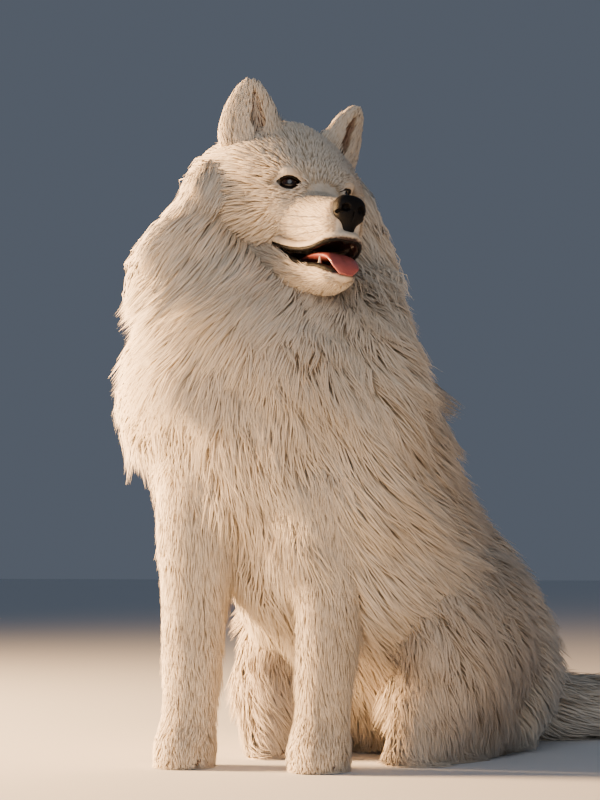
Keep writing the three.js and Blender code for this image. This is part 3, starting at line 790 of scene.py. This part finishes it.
def build_mouth(settings):
    share = np.linspace(0, 1, 90)
    for name, (half, lower, inward, radius) in LIP_EDGES.items():
        path = lip_path(half, lower, inward, len(share))
        taper = 0.6 + 0.4 * np.sin(math.pi * (0.02 + 0.96 * share)) ** 0.5 + 0.05 * np.sin(share * 150)
        points, faces = tube(in_head(path) * MM, radius * MM * taper)
        lip = mesh_object(name, points, faces)
        finish_piece(lip, leather_finish(settings))

    def grooved(points, t, angle):
        dip = 1.6 * np.exp(-((points[..., 0] / 3.0) ** 2)) * (np.cos(angle) > 0)
        points[..., 2] -= dip
        return points

    points, triangles = TONGUE.mesh(60, 40, shape=grooved)
    tongue = mesh_object("tongue_flesh", points, [triangles])
    finish_piece(tongue, tongue_finish(settings), ["tongue"])


@functools.lru_cache(None)
def taper_tree():
    """Tapered, slightly bent points set on the vertices of a mesh, along their direction attribute."""
    tree = bpy.data.node_groups.new("Tapered points", "GeometryNodeTree")
    face = tree.interface
    face.new_socket("Geometry", in_out="INPUT", socket_type="NodeSocketGeometry")
    for name, kind in (("Length", "Float"), ("Radius", "Float"), ("Bend", "Float"), ("Seed", "Int")):
        face.new_socket(name, in_out="INPUT", socket_type="NodeSocket" + kind)
    face.new_socket("Material", in_out="INPUT", socket_type="NodeSocketMaterial")
    face.new_socket("Geometry", in_out="OUTPUT", socket_type="NodeSocketGeometry")

    def node(kind, settings=None, values=None):
        return add_node(tree, kind, settings, values)

    given = node("NodeGroupInput").outputs
    cone = node("GeometryNodeMeshCone", None, {
        "Vertices": 8, "Side Segments": 5, "Radius Top": 0.0, "Radius Bottom": given["Radius"],
        "Depth": given["Length"],
    })
    height = node("ShaderNodeSeparateXYZ", None, {0: node("GeometryNodeInputPosition").outputs[0]}).outputs["Z"]
    share = node("ShaderNodeMath", {"operation": "DIVIDE"}, {0: height, 1: given["Length"]}).outputs[0]
    square = node("ShaderNodeMath", {"operation": "POWER"}, {0: share, 1: 2.0}).outputs[0]
    aside = node("ShaderNodeMath", {"operation": "MULTIPLY"}, {0: square, 1: given["Bend"]}).outputs[0]
    shift = node("ShaderNodeCombineXYZ", None, {"X": aside}).outputs[0]
    bent = node("GeometryNodeSetPosition", None, {"Geometry": cone.outputs["Mesh"], "Offset": shift})
    way = node("GeometryNodeInputNamedAttribute", {"data_type": "FLOAT_VECTOR"}, {"Name": "direction"})
    turn = node("FunctionNodeAlignRotationToVector", {"axis": "Z"}, {"Vector": way.outputs["Attribute"]})
    size = node("GeometryNodeInputNamedAttribute", {"data_type": "FLOAT"}, {"Name": "size"}).outputs["Attribute"]
    chance = node("FunctionNodeRandomValue", {"data_type": "FLOAT"}, {2: 0.85, 3: 1.1, "Seed": given["Seed"]})
    scale = node("ShaderNodeMath", {"operation": "MULTIPLY"}, {0: size, 1: chance.outputs[1]}).outputs[0]
    set_out = node("GeometryNodeInstanceOnPoints", None, {
        "Points": given["Geometry"], "Instance": bent.outputs[0], "Rotation": turn.outputs[0], "Scale": scale,
    })
    real = node("GeometryNodeRealizeInstances", None, {"Geometry": set_out.outputs[0]})
    painted = node("GeometryNodeSetMaterial", None, {"Geometry": real.outputs[0], "Material": given["Material"]})
    node("NodeGroupOutput", None, {0: painted.outputs[0]})
    return tree


def tapered_points(name, points, directions, sizes, length, radius, bend, material, replaces=()):
    """One piece of tapered points, rooted at points in metres."""
    mesh = bpy.data.meshes.new(name + "_roots")
    mesh.vertices.add(len(points))
    mesh.vertices.foreach_set("co", np.asarray(points, np.float32).ravel())
    mesh.attributes.new("direction", "FLOAT_VECTOR", "POINT").data.foreach_set(
        "vector", np.asarray(directions, np.float32).ravel()
    )
    mesh.attributes.new("size", "FLOAT", "POINT").data.foreach_set("value", np.asarray(sizes, np.float32))
    seeds = bpy.data.objects.new(name + "_roots", mesh)
    bpy.context.scene.collection.objects.link(seeds)
    modifier = seeds.modifiers.new("points", "NODES")
    modifier.node_group = taper_tree()
    given = {"Length": length, "Radius": radius, "Bend": bend, "Seed": SEED, "Material": material}
    for item in taper_tree().interface.items_tree:
        if item.in_out == "INPUT" and item.name in given:
            modifier[item.identifier] = given[item.name]
    evaluated = seeds.evaluated_get(bpy.context.evaluated_depsgraph_get())
    plain = bpy.data.meshes.new_from_object(evaluated)
    bpy.data.objects.remove(seeds)
    plain.shade_smooth()
    made = bpy.data.objects.new(name, plain)
    bpy.context.scene.collection.objects.link(made)
    return finish_piece(made, material, replaces)


def build_teeth(settings):
    enamel = horn_finish("enamel", ENAMEL_TONES, 0.2)
    places, sizes = [], []
    for side in SIDES.values():
        canine = [(side * 17, -112, -97)]
        front = [(side * (2.2 + 3.6 * k), -128 + 2 * k, -98) for k in range(3)]
        back = [(side * (20 + 2 * k), -98 + 9 * k, -95 + 2 * k) for k in range(3)]
        places += canine + front + back
        sizes += [0.85] + [0.3] * 3 + [0.32] * 3
    turn = HEAD_MATRIX[:3, :3]
    ways = [turn @ unit(np.array((0.05 * np.sign(p[0]), -0.12, 1.0))) for p in places]
    replaced = ["tooth_" + name for name in SIDES]
    tapered_points("teeth", in_head(places) * MM, ways, sizes, 0.022, 0.004, -0.002, enamel, replaced)


def paws():
    """Each front and hind toe: its middle, its half sizes and the way that it points, in millimetres."""
    toes = []
    for side in SIDES.values():
        x, y, turn = foreleg_place(side)
        way = np.array((math.sin(turn), -math.cos(turn), 0))
        left = np.array((math.cos(turn), math.sin(turn), 0))
        for across, ahead in ((-24, 16), (-9, 27), (9, 27), (24, 16)):
            toes.append((np.array((x, y, 14)) + left * across + way * ahead, way))
        for across, ahead in ((-22, 100), (-8, 112), (8, 112), (22, 100)):
            toes.append((np.array((side * 98 + across, -165 - ahead, 14)), np.array((0, -1.0, 0))))
    return toes


def build_claws(settings):
    horn = horn_finish("claw horn", CLAW_TONES, 0.35)
    roots = [middle + way * 11 - np.array((0, 0, 4)) for middle, way in paws()]
    ways = [unit(way + np.array((0, 0, -0.45))) for _, way in paws()]
    tapered_points("claws", np.array(roots) * MM, ways, [1.0] * len(roots), 0.013, 0.0032, 0.001, horn)


def build_whiskers(settings):
    bristle = horn_finish("whisker", WHISKER_TONES, 0.4)
    chance = np.random.default_rng(SEED)
    roots, ways = [], []
    for side in SIDES.values():
        for row in range(3):
            for k in range(5):
                t = 0.2 + 0.11 * k + chance.uniform(-0.02, 0.02)
                angle = side * math.radians(84 + 13 * row)
                roots.append(MUZZLE.offset(np.array([t]), np.array([angle]), np.array([-1.0]))[0])
                ways.append(unit(np.array((side * 1.0, 0.75 + chance.uniform(-0.2, 0.2), -0.25 - 0.2 * row))))
    ways = [HEAD_MATRIX[:3, :3] @ way for way in ways]
    sizes = chance.uniform(0.7, 1.2, len(roots))
    tapered_points("whiskers", in_head(roots) * MM, ways, sizes, 0.042, 0.00035, 0.008, bristle)


class Pelt:
    """How the coat grows on one form, in millimetres, on the rings from low to high. length, depth, proud, drift and
    mark may be functions of t and the angle.

    proud is how far the tips stand out of the form, onward 1 or -1 the way along the form that the hair points,
    drift its turn aside, clump and gather the size and firmness of its locks, mark how far it is darkened towards
    brown, partly its real tan and partly painted shade, wave how it sways, and rings its bends. hollow hair lines a
    cup, and close draws the hair over the form's end together."""

    LOW_END, HIGH_END = 0.004, 0.996  # how near to both ends of a form the hair lies along it

    def __init__(self, form, low, high, spacing, length, width, depth, proud, onward=-1, drift=0.0, clump=14.0,
                 gather=0.42, mark=0.0, wave=0.05, rings=3, hollow=False, close=False):
        self.form, self.low, self.high, self.spacing = form, low, high, spacing
        self.length, self.width, self.depth, self.proud = length, width, depth, proud
        self.onward, self.drift, self.clump, self.gather = onward, drift, clump, gather
        self.mark, self.wave, self.rings, self.hollow, self.close = mark, wave, rings, hollow, close

    def of(self, value, t, angle):
        return value(t, angle) if callable(value) else np.full(t.shape, float(value))

    def roots(self, chance, thin):
        """Places spread evenly over the form's own surface, as t and angle."""
        spacing = self.spacing * thin
        held = []
        t = self.low
        ring = np.linspace(0, TURN, 73)
        while t < self.high:
            points = self.form.point(np.full(len(ring), t), ring)
            arc = np.concatenate([[0], np.cumsum(np.linalg.norm(np.diff(points, axis=0), axis=1))])
            step = spacing / self.form.stretch(np.full(len(ring), t), ring).max()
            count = max(1, int(arc[-1] / spacing))
            angle = np.interp((np.arange(count) + chance.uniform(0, 1, count)) * arc[-1] / count, arc, ring)
            held.append(np.c_[t + chance.uniform(-0.5, 0.5, count) * step, angle])
            t += step
        held = np.vstack(held)
        steep = self.form.stretch(held[:, 0], held[:, 1])
        levels, ring = np.linspace(self.low, self.high, 40), np.linspace(0, TURN, 37)
        steepest = [self.form.stretch(np.full(len(ring), t), ring).max() for t in levels]
        keep = chance.uniform(0, 1, len(held)) < steep / np.interp(held[:, 0], levels, steepest)
        return held[keep].T

    def end(self):
        """A place a little beyond the middle of the form's last ring."""
        ring = np.linspace(0, TURN, 24, endpoint=False)
        levels = (self.HIGH_END, 0.93)
        last, before = (self.form.point(np.full(len(ring), t), ring).mean(axis=0) for t in levels)
        return last + unit(last - before) * 12

    def lines(self, t, angle, depth, proud, length, drift):
        """Middle lines that start depth below the form, rise to proud over it, and follow it as it bends."""
        place = in_head if self.form.head else np.asarray
        end = self.end()
        walk, turn, past = t.copy(), angle.copy(), np.zeros(len(t))
        step = length / self.rings
        made = []
        for k in range(self.rings + 1):
            rise = np.sin(k / self.rings * math.pi / 2)
            points = self.form.offset(walk, turn, -depth + (depth + proud) * rise)
            if self.close:
                points += (end - points) * smooth_step(0, 26, past)[:, None]
            made.append(place(points))
            stretch = self.form.stretch(walk, turn)
            ahead = walk + self.onward * step / stretch
            walk = np.clip(ahead, self.LOW_END, self.HIGH_END)
            past += np.abs(ahead - walk) * np.minimum(stretch, 400)
            turn = turn + drift * step / np.maximum(self.form.around(walk, turn), 8)
        return np.stack(made, axis=1)


# How far a root may lie off the skin, on body and head, and how far inside the other of the two, in metres.
ROOT_REACH = {False: 0.008, True: 0.003}
ROOT_INSIDE = 0.004
# Rows of waves, in radians a millimetre along x, y and z: where the coat heaps up, how its locks sway and curl.
HEAPS = np.array([[0.06, 0.02, 0.03], [0.02, 0.07, -0.03], [0.05, -0.03, 0.05]])
SWAYS = np.array([[0.11, 0.05, 0.03], [0.04, 0.12, 0.06], [0.05, 0.03, 0.10]])
CURL = np.array([0.21, 0.17, 0.19])


def grow(pelt, chance, settings, own, other, clear=None):
    """The tufts of a pelt: middle lines, widths, normals, roots' t and angle, and how far each is darkened towards
    brown, partly real tan and partly painted shade. own is the field of the skin that they grow on, other that of
    the skin that they keep out of, and clear tells the roots that may stay."""
    t, angle = pelt.roots(chance, settings.spacing)
    place = in_head if pelt.form.head else np.asarray
    depth = pelt.of(pelt.depth, t, angle)
    sunk = own.sample(place(pelt.form.offset(t, angle, -depth)) * MM) / MM
    depth = depth - np.clip(-sunk, 0, SWELL)
    root = place(pelt.form.offset(t, angle, -depth)) * MM
    keep = (np.abs(own.sample(root)) < ROOT_REACH[pelt.form.head]) & (other.sample(root) > -ROOT_INSIDE)
    if clear is not None:
        keep &= clear(root / MM)
    t, angle, depth, root = t[keep], angle[keep], depth[keep], root[keep]
    raised = pelt.of(pelt.depth, t, angle) - depth
    count = len(t)
    length = pelt.of(pelt.length, t, angle) * chance.uniform(0.72, 1.2, count) * settings.length
    width = pelt.width * chance.uniform(0.7, 1.25, count) * settings.width
    heap = np.sin(root / MM @ HEAPS.T).sum(axis=1)
    proud = pelt.of(pelt.proud, t, angle) + raised
    proud = proud + (chance.normal(0, 1, count) * 0.05 + heap * 0.6 * pelt.wave) * length
    drift = pelt.of(pelt.drift, t, angle) + chance.normal(0, 0.10, count)
    lines = pelt.lines(t, angle, depth, proud, length, drift)
    normal = pelt.form.normal(t, angle) * (-1 if pelt.hollow else 1)
    if pelt.form.head:
        normal = normal @ HEAD_MATRIX[:3, :3].T
    sway = np.sin(lines[:, 0] @ SWAYS)
    curl = (lines[:, 0] @ CURL)[:, None]
    shares = np.arange(1, pelt.rings + 1) / pelt.rings
    for k, share in enumerate(shares, 1):
        lines[:, k] += (sway + 0.6 * np.sin(curl + 3 * share)) * (pelt.wave * length * share)[:, None]
    for k, share in enumerate(shares, 1):
        lines[:, k] += chance.normal(0, 1, (count, 3)) * (0.028 * length)[:, None] * share**2
    for size, pull in ((pelt.clump, pelt.gather), (pelt.clump * 3.2, pelt.gather * 0.45)):
        gather(lines, size, pull, chance)
    lines[..., 2] = np.maximum(lines[..., 2], 0.8)
    mark = pelt.of(pelt.mark, t, angle)
    return {"lines": lines * MM, "width": width * MM, "normal": normal, "t": t, "angle": angle, "mark": mark}


def gather(lines, size, pull, chance):
    """Draws the tips of neighbouring tufts together into clumps of about that size, in millimetres."""
    roots = lines[:, 0]
    cell = np.floor(roots / size).astype(int)
    _, first = np.unique(cell, axis=0, return_index=True)
    tree = kdtree.KDTree(len(first))
    for at, k in enumerate(first):
        tree.insert(roots[k] + chance.normal(0, size * 0.2, 3), at)
    tree.balance()
    lead = first[[tree.find(p)[1] for p in roots]]
    apart = roots - roots[lead]
    amount = pull * chance.uniform(0.6, 1.15, len(roots))
    for k in range(1, lines.shape[1]):
        share = (k / (lines.shape[1] - 1)) ** 1.4
        goal = lines[lead, k] + apart * 0.3
        lines[:, k] += (goal - lines[:, k]) * (share * amount)[:, None]


MOST_TRIANGLES = 200000  # of one piece
TILE_EDGE = 0.02  # the free edge round each form's tile of the OFBake map, and the reach of a tuft's patch on it
PATCH_WIDTH, PATCH_HEIGHT = 0.0028, 0.003


def blade_faces(rings):
    """The triangles of one closed, three-sided blade: rings of three points, and its tip."""
    tip = rings * 3
    faces = [(0, 2, 1)]
    for i in range(0, tip - 3, 3):
        for a, b in ((i, i + 1), (i + 1, i + 2), (i + 2, i)):
            faces += [(a, b, a + 3), (b, b + 3, a + 3)]
    return np.array(faces + [(tip - 3 + j, tip - 3 + (j + 1) % 3, tip) for j in range(3)])


def tuft_mesh(name, grown, chance):
    """One closed, tapered, three-sided blade for each line, in one mesh, with the hair attribute and OFBake."""
    points_of, faces_of, hair_of, uv_of, normal_of = [], [], [], [], []
    total = 0
    tiles = len(grown)
    for tile, made in enumerate(grown):
        lines = made["lines"]
        count, knots = lines.shape[:2]
        rings = knots - 1
        tangent = unit(np.gradient(lines, axis=1))
        side = unit(np.cross(tangent, made["normal"][:, None]))
        top = np.cross(side, tangent)
        share = np.arange(rings) / rings
        leaf = (0.7 + 0.9 * share - 1.1 * share**2) * made["width"][:, None]
        half = leaf[..., None] / 2
        bend = chance.uniform(-0.5, 0.5, count)[:, None, None]
        tilt = side * np.cos(bend)[..., :1] + top * np.sin(bend)[..., :1]
        middle = lines[:, :rings]
        corners = np.stack([
            middle + tilt[:, :rings] * half, middle - tilt[:, :rings] * half, middle + top[:, :rings] * half * 0.8,
        ], axis=2).reshape(count, rings * 3, 3)
        points = np.concatenate([corners, lines[:, rings:]], axis=1)
        points[..., 2] = np.maximum(points[..., 2], HAIR_OFF_FLOOR)
        per = rings * 3 + 1
        faces = (blade_faces(rings)[None] + (np.arange(count) * per)[:, None, None]).reshape(-1, 3) + total
        along = np.concatenate([np.repeat(share, 3), [1.0]])
        hair = np.empty((count, per, 3), np.float32)
        hair[..., 0] = chance.uniform(0, 1, count)[:, None]
        hair[..., 1] = along
        hair[..., 2] = made["mark"][:, None]
        corner = np.concatenate([np.tile([-1.0, 1.0, 0.0], rings), [0.0]])
        wrap = (made["angle"] / TURN) % 1.0
        room = 1 - 2 * TILE_EDGE
        u = (tile + TILE_EDGE + room * wrap[:, None]) / tiles + corner * PATCH_WIDTH / 2
        v = TILE_EDGE + room * made["t"][:, None] + (along - 0.5) * PATCH_HEIGHT
        rounded = np.concatenate([side, -side, top], axis=-1)[:, :rings].reshape(count, rings * 3, 3)
        rounded = np.concatenate([rounded, tangent[:, rings:]], axis=1)
        normal_of.append(unit(rounded * HAIR_ROUNDNESS + made["normal"][:, None]).reshape(-1, 3))
        points_of.append(points.reshape(-1, 3))
        faces_of.append(faces)
        hair_of.append(hair.reshape(-1, 3))
        uv_of.append(np.stack([u, v], axis=-1).reshape(-1, 2))
        total += count * per
    faces = np.vstack(faces_of)
    if len(faces) >= MOST_TRIANGLES:
        raise RuntimeError(f"{name} has {len(faces)} triangles, over the limit for one piece")
    made = mesh_object(name, np.vstack(points_of), [faces], {"hair": np.vstack(hair_of)}, np.vstack(normal_of))
    layer = made.data.uv_layers.new(name="OFBake")
    layer.uv.foreach_set("vector", np.vstack(uv_of)[faces.ravel()].astype(np.float32).ravel())
    return made


def chest_drift(t, angle):
    """Hair turns away from the line down the middle of the chest."""
    return 0.75 * np.sin(angle)


def leg_length(t, angle):
    behind = smooth_step(0.1, -0.8, np.cos(angle))
    return 16 + 14 * smooth_step(0.1, 0.6, t) + behind * 44 * smooth_step(0.12, 0.35, t)


def beside(angle):
    """1 on the sides and underside of a head form, 0 on its top."""
    return smooth_step(0.8, 0.1, np.cos(angle))


def skull_length(t, angle):
    return 8 + (14 + 60 * beside(angle)) * smooth_step(0.2, 0.6, t)


def skull_proud(t, angle):
    """The hair of temples and cheeks stands out over the ruff, and lies down again at the back."""
    rise = (3 + 36 * beside(angle)) * smooth_step(0.2, 0.6, t)
    return 1.2 + rise * (1 - 0.8 * smooth_step(0.6, 0.85, t))


def skull_drift(t, angle):
    return 0.5 * np.sin(angle) * t


def muzzle_length(t, angle):
    return 5 + 4 * t + 40 * smooth_step(0.65, 1.0, t)


def muzzle_proud(t, angle):
    return 1.2 + 16 * smooth_step(0.7, 1.0, t)


def jaw_length(t, angle):
    return 7 + 46 * smooth_step(0.35, 1.0, t)


def jaw_proud(t, angle):
    return 1.2 + 14 * t * t


def ear_length(t, angle):
    return 17 - 8 * t


# Inside the ears the hair is darkened towards brown, partly its real tan and partly painted shade: the left ear, on
# the side away from the key light, is painted much darker than the right.
CUP_TONE_AND_SHADE = {"left": 0.85, "right": 0.25}  # how dark the hair inside each ear is


def body_pelts():
    """The coat of trunk, tail and legs, piece by piece."""

    def trunk(low, high, spacing, length, width, proud, clump, wave, **other):
        other.update(clump=clump, wave=wave)
        return [Pelt(TRUNK, low, high, spacing, length, width, trunk_depth, proud, **other)]

    swept = {"drift": chest_drift}
    short = {"drift": chest_drift, "rings": 2}
    made = {
        "coat_crown": trunk(0.86, 0.995, 3.0, 66, 2.1, -6, 13, 0.08),
        "coat_ruff": trunk(0.735, 0.86, 3.3, 84, 2.3, -4, 16, 0.1, **swept),
        "coat_throat": trunk(0.615, 0.735, 3.0, 64, 2.1, -3, 15, 0.14, **short),
        "coat_chest": trunk(0.48, 0.615, 3.4, 60, 2.2, -1, 16, 0.17, **short),
        "coat_ribs": trunk(0.32, 0.48, 4.6, 66, 2.3, 0, 15, 0.11, **short),
        "coat_rump": trunk(0.01, 0.32, 5.0, 60, 2.5, 1, 15, 0.08, **short),
        "coat_tail": [
            Pelt(TAIL, 0.02, 0.96, 4.5, 90, 2.5, DEPTH["tail"], 2, onward=1, drift=0.2, clump=16, close=True)
        ],
    }
    for name, side in SIDES.items():
        # The thighs' hair is darkened a little towards brown, partly a real grey-brown tone and partly painted
        # shade.
        made["coat_thigh_" + name] = [
            Pelt(hindleg(side), 0.02, 0.97, 3.6, 48, 2.0, thigh_depth, 2, drift=0.35, clump=15, rings=2,
                 wave=0.12, mark=0.22)
        ]
        made["coat_foreleg_" + name] = [
            Pelt(foreleg(side), 0.01, 0.97, 2.9, leg_length, 1.5, foreleg_depth, 1.5, drift=0.1, clump=9, rings=2)
        ]
    return made


def head_pelts():
    """The coat of the head, piece by piece."""
    ears = [
        Pelt(ear(side), 0.01, 0.985, 2.2, ear_length, 1.4, DEPTH["ear"], 3.2, onward=1, clump=5, rings=2,
             gather=0.5, close=True)
        for side in SIDES.values()
    ]
    cups = [
        Pelt(ear_cup(side), 0.05, 0.9, 3.0, 15, 1.1, -0.8, -4.5, onward=1, clump=6, rings=2, gather=0.5,
             mark=CUP_TONE_AND_SHADE[name], hollow=True)
        for name, side in SIDES.items()
    ]
    return {
        "coat_skull": [
            Pelt(SKULL, 0.03, 0.98, 2.5, skull_length, 1.6, DEPTH["skull"], skull_proud, onward=1,
                 drift=skull_drift, clump=8, gather=0.35, close=True)
        ],
        "coat_muzzle": [
            Pelt(MUZZLE, 0.03, 0.99, 1.8, muzzle_length, 1.0, DEPTH["muzzle"], muzzle_proud, onward=1, clump=4,
                 rings=2, gather=0.3),
            Pelt(JAW, 0.02, 0.99, 2.1, jaw_length, 1.2, DEPTH["muzzle"], jaw_proud, onward=1, clump=5, rings=2,
                 gather=0.3),
        ],
        "coat_ears": ears + cups,
    }


def bare(opening):
    """True for head roots clear of the eyes, the mouth and the nose leather."""

    def test(root):
        local = from_dog(root)
        reach = np.linalg.norm((local - np.array(NOSE["at"])) / (np.array(NOSE["size"]) + 1.0), axis=1)
        return (opening.sample(root * MM) > 0.0022) & (reach > 1)

    return test


def build_coat(settings):
    hair = coat_finish(settings)
    chance = np.random.default_rng(SEED)
    head, opening = head_fields()
    body = body_field()
    for pieces, *fields in ((body_pelts(), body, head), (head_pelts(), head, body, bare(opening))):
        for name, rows in pieces.items():
            grown = [grow(pelt, chance, settings, *fields) for pelt in rows]
            finish_piece(tuft_mesh(name, grown, chance), hair)


# The stage: lights round a spot on the chest, low and warm from the picture's left, and the photo's camera.
LIT = (-0.04, -0.3, 0.4)
KEY = {"at": (-2.85, -1.4, 0.95), "size": 1.0, "colour": (1.0, 0.60, 0.28)}
FRONT = {"at": (1.4, -3.0, 1.6), "size": 2.5, "colour": (0.95, 0.97, 1.0)}
FRONT_SHARE = 0.03  # of the key light's power
SKY_COLOUR = (0.62, 0.74, 0.95, 1)
CAMERA = {"at": (1.2298, -2.4353, 0.2300), "ahead": (-0.5093, 0.8565, 0.0831), "lens": 91.8}


def area_light(name, light_of, power):
    light = bpy.data.lights.new(name, "AREA")
    light.shape = "DISK"
    light.size = light_of["size"]
    light.energy = power
    light.color = light_of["colour"]
    made = bpy.data.objects.new(name, light)
    made.location = light_of["at"]
    made.rotation_euler = (Vector(LIT) - Vector(light_of["at"])).to_track_quat("-Z", "Y").to_euler()
    bpy.context.scene.collection.objects.link(made)


def build_stage(settings):
    corners = [(-40, -40, 0), (40, -40, 0), (40, 40, 0), (-40, 40, 0)]
    floor = mesh_object("floor", corners, [np.array([[0, 1, 2, 3]])])
    finish = Finish("pale floor")
    finish.set("Base Color", rgb(settings.floor_colour))
    finish.set("Roughness", 0.9)
    floor.data.materials.append(finish.material)
    world = bpy.context.scene.world or bpy.data.worlds.new("studio")
    bpy.context.scene.world = world
    world.use_nodes = True
    sky = next(n for n in world.node_tree.nodes if n.type == "BACKGROUND")
    sky.inputs["Color"].default_value = SKY_COLOUR
    sky.inputs["Strength"].default_value = settings.fill
    area_light("key", KEY, settings.key)
    area_light("front", FRONT, settings.key * FRONT_SHARE)
    camera = bpy.data.cameras.new("camera")
    camera.lens = CAMERA["lens"]
    camera.clip_end = 200
    made = bpy.data.objects.new("camera", camera)
    made.location = CAMERA["at"]
    made.rotation_euler = Vector(CAMERA["ahead"]).to_track_quat("-Z", "Y").to_euler()
    bpy.context.scene.collection.objects.link(made)
    bpy.context.scene.camera = made


def colour_property(name, description, default):
    return bpy.props.FloatVectorProperty(
        name=name, description=description, default=default, subtype="COLOR", size=3, min=0.0, max=1.0
    )


class SamoyedCoatSettings(bpy.types.PropertyGroup):
    length: bpy.props.FloatProperty(name="Hair length", description="Factor on every tuft's length", default=1.0)
    width: bpy.props.FloatProperty(name="Tuft width", description="Factor on every tuft's width", default=1.0)
    spacing: bpy.props.FloatProperty(
        name="Spacing", description="Factor on the distance between tufts", default=1.0
    )
    # The root colour is painted shade at the tufts' roots; it also tints random warm patches of the coat and the
    # skin's nap.
    root_shade_and_cream_colour: colour_property("Root colour", "Colour of the hair near the skin", (0.54, 0.42, 0.28))
    tip_colour: colour_property("Tip colour", "Colour of the hair at its tip", (0.90, 0.82, 0.70))
    # The darkest hair's colour: partly real tan and grey-brown, and painted shade inside the ears and on the thighs.
    tone_and_shade_colour: colour_property("Mark colour", "Colour of the darkest hair, in the ears", (0.30, 0.17, 0.10))


class SamoyedFaceSettings(bpy.types.PropertyGroup):
    eye_colour: colour_property("Eye colour", "Colour of the iris", (0.014, 0.006, 0.003))
    leather_colour: colour_property("Leather colour", "Colour of nose, lips and lids", (0.0025, 0.002, 0.002))
    tongue_colour: colour_property("Tongue colour", "Colour of the tongue", (0.34, 0.085, 0.075))


class SamoyedStageSettings(bpy.types.PropertyGroup):
    key: bpy.props.FloatProperty(
        name="Key light", description="Power of the key light", default=900.0, unit="POWER"
    )
    fill: bpy.props.FloatProperty(name="Fill", description="Strength of the light from all round", default=0.15)
    floor_colour: colour_property("Floor colour", "Colour of the floor", (0.80, 0.81, 0.83))


class SAMOYED_OT_skin(bpy.types.Operator):
    """Build the skin that lies under the coat"""

    bl_idname = "samoyed.skin"
    bl_label = "Skin"

    def execute(self, context):
        build_skin(context.scene.samoyed_coat)
        return {"FINISHED"}


class SAMOYED_OT_eyes(bpy.types.Operator):
    """Build both eyes and the rims of their lids"""

    bl_idname = "samoyed.eyes"
    bl_label = "Eyes"

    def execute(self, context):
        build_eyes(context.scene.samoyed_face)
        return {"FINISHED"}


class SAMOYED_OT_nose(bpy.types.Operator):
    """Build the nose leather"""

    bl_idname = "samoyed.nose"
    bl_label = "Nose"

    def execute(self, context):
        build_nose(context.scene.samoyed_face)
        return {"FINISHED"}


class SAMOYED_OT_mouth(bpy.types.Operator):
    """Build the lips, tongue and teeth"""

    bl_idname = "samoyed.mouth"
    bl_label = "Mouth"

    def execute(self, context):
        build_mouth(context.scene.samoyed_face)
        build_teeth(context.scene.samoyed_face)
        return {"FINISHED"}


class SAMOYED_OT_bristles(bpy.types.Operator):
    """Build the claws and whiskers"""

    bl_idname = "samoyed.bristles"
    bl_label = "Claws and whiskers"

    def execute(self, context):
        build_claws(context.scene.samoyed_face)
        build_whiskers(context.scene.samoyed_face)
        return {"FINISHED"}


class SAMOYED_OT_coat(bpy.types.Operator):
    """Grow the coat's tufts over the skin"""

    bl_idname = "samoyed.coat"
    bl_label = "Coat"

    def execute(self, context):
        build_coat(context.scene.samoyed_coat)
        return {"FINISHED"}


class SAMOYED_OT_stage(bpy.types.Operator):
    """Set the floor, lights and camera"""

    bl_idname = "samoyed.stage"
    bl_label = "Stage"

    def execute(self, context):
        build_stage(context.scene.samoyed_stage)
        return {"FINISHED"}


OPERATORS = (
    SAMOYED_OT_skin, SAMOYED_OT_eyes, SAMOYED_OT_nose, SAMOYED_OT_mouth, SAMOYED_OT_bristles, SAMOYED_OT_coat,
    SAMOYED_OT_stage,
)
SETTINGS = {
    "samoyed_coat": SamoyedCoatSettings,
    "samoyed_face": SamoyedFaceSettings,
    "samoyed_stage": SamoyedStageSettings,
}


class SAMOYED_PT_panel(bpy.types.Panel):
    bl_idname = "SAMOYED_PT_panel"
    bl_label = "Sitting Samoyed"
    bl_space_type = "VIEW_3D"
    bl_region_type = "UI"
    bl_category = "Samoyed"

    def draw(self, context):
        for name, group in SETTINGS.items():
            box = self.layout.box()
            for key in group.__annotations__:
                box.prop(getattr(context.scene, name), key)
        for operator in OPERATORS:
            self.layout.operator(operator.bl_idname)


def register():
    for group in (*SETTINGS.values(), *OPERATORS, SAMOYED_PT_panel):
        bpy.utils.register_class(group)
    for name, group in SETTINGS.items():
        setattr(bpy.types.Scene, name, bpy.props.PointerProperty(type=group))


def unregister():
    for name in SETTINGS:
        delattr(bpy.types.Scene, name)
    for group in (SAMOYED_PT_panel, *reversed(OPERATORS), *reversed(SETTINGS.values())):
        bpy.utils.unregister_class(group)


def main():
    register()
    for operator in OPERATORS:
        name = operator.bl_idname.split(".")[1]
        getattr(bpy.ops.samoyed, name)()


if __name__ == "__main__":
    main()
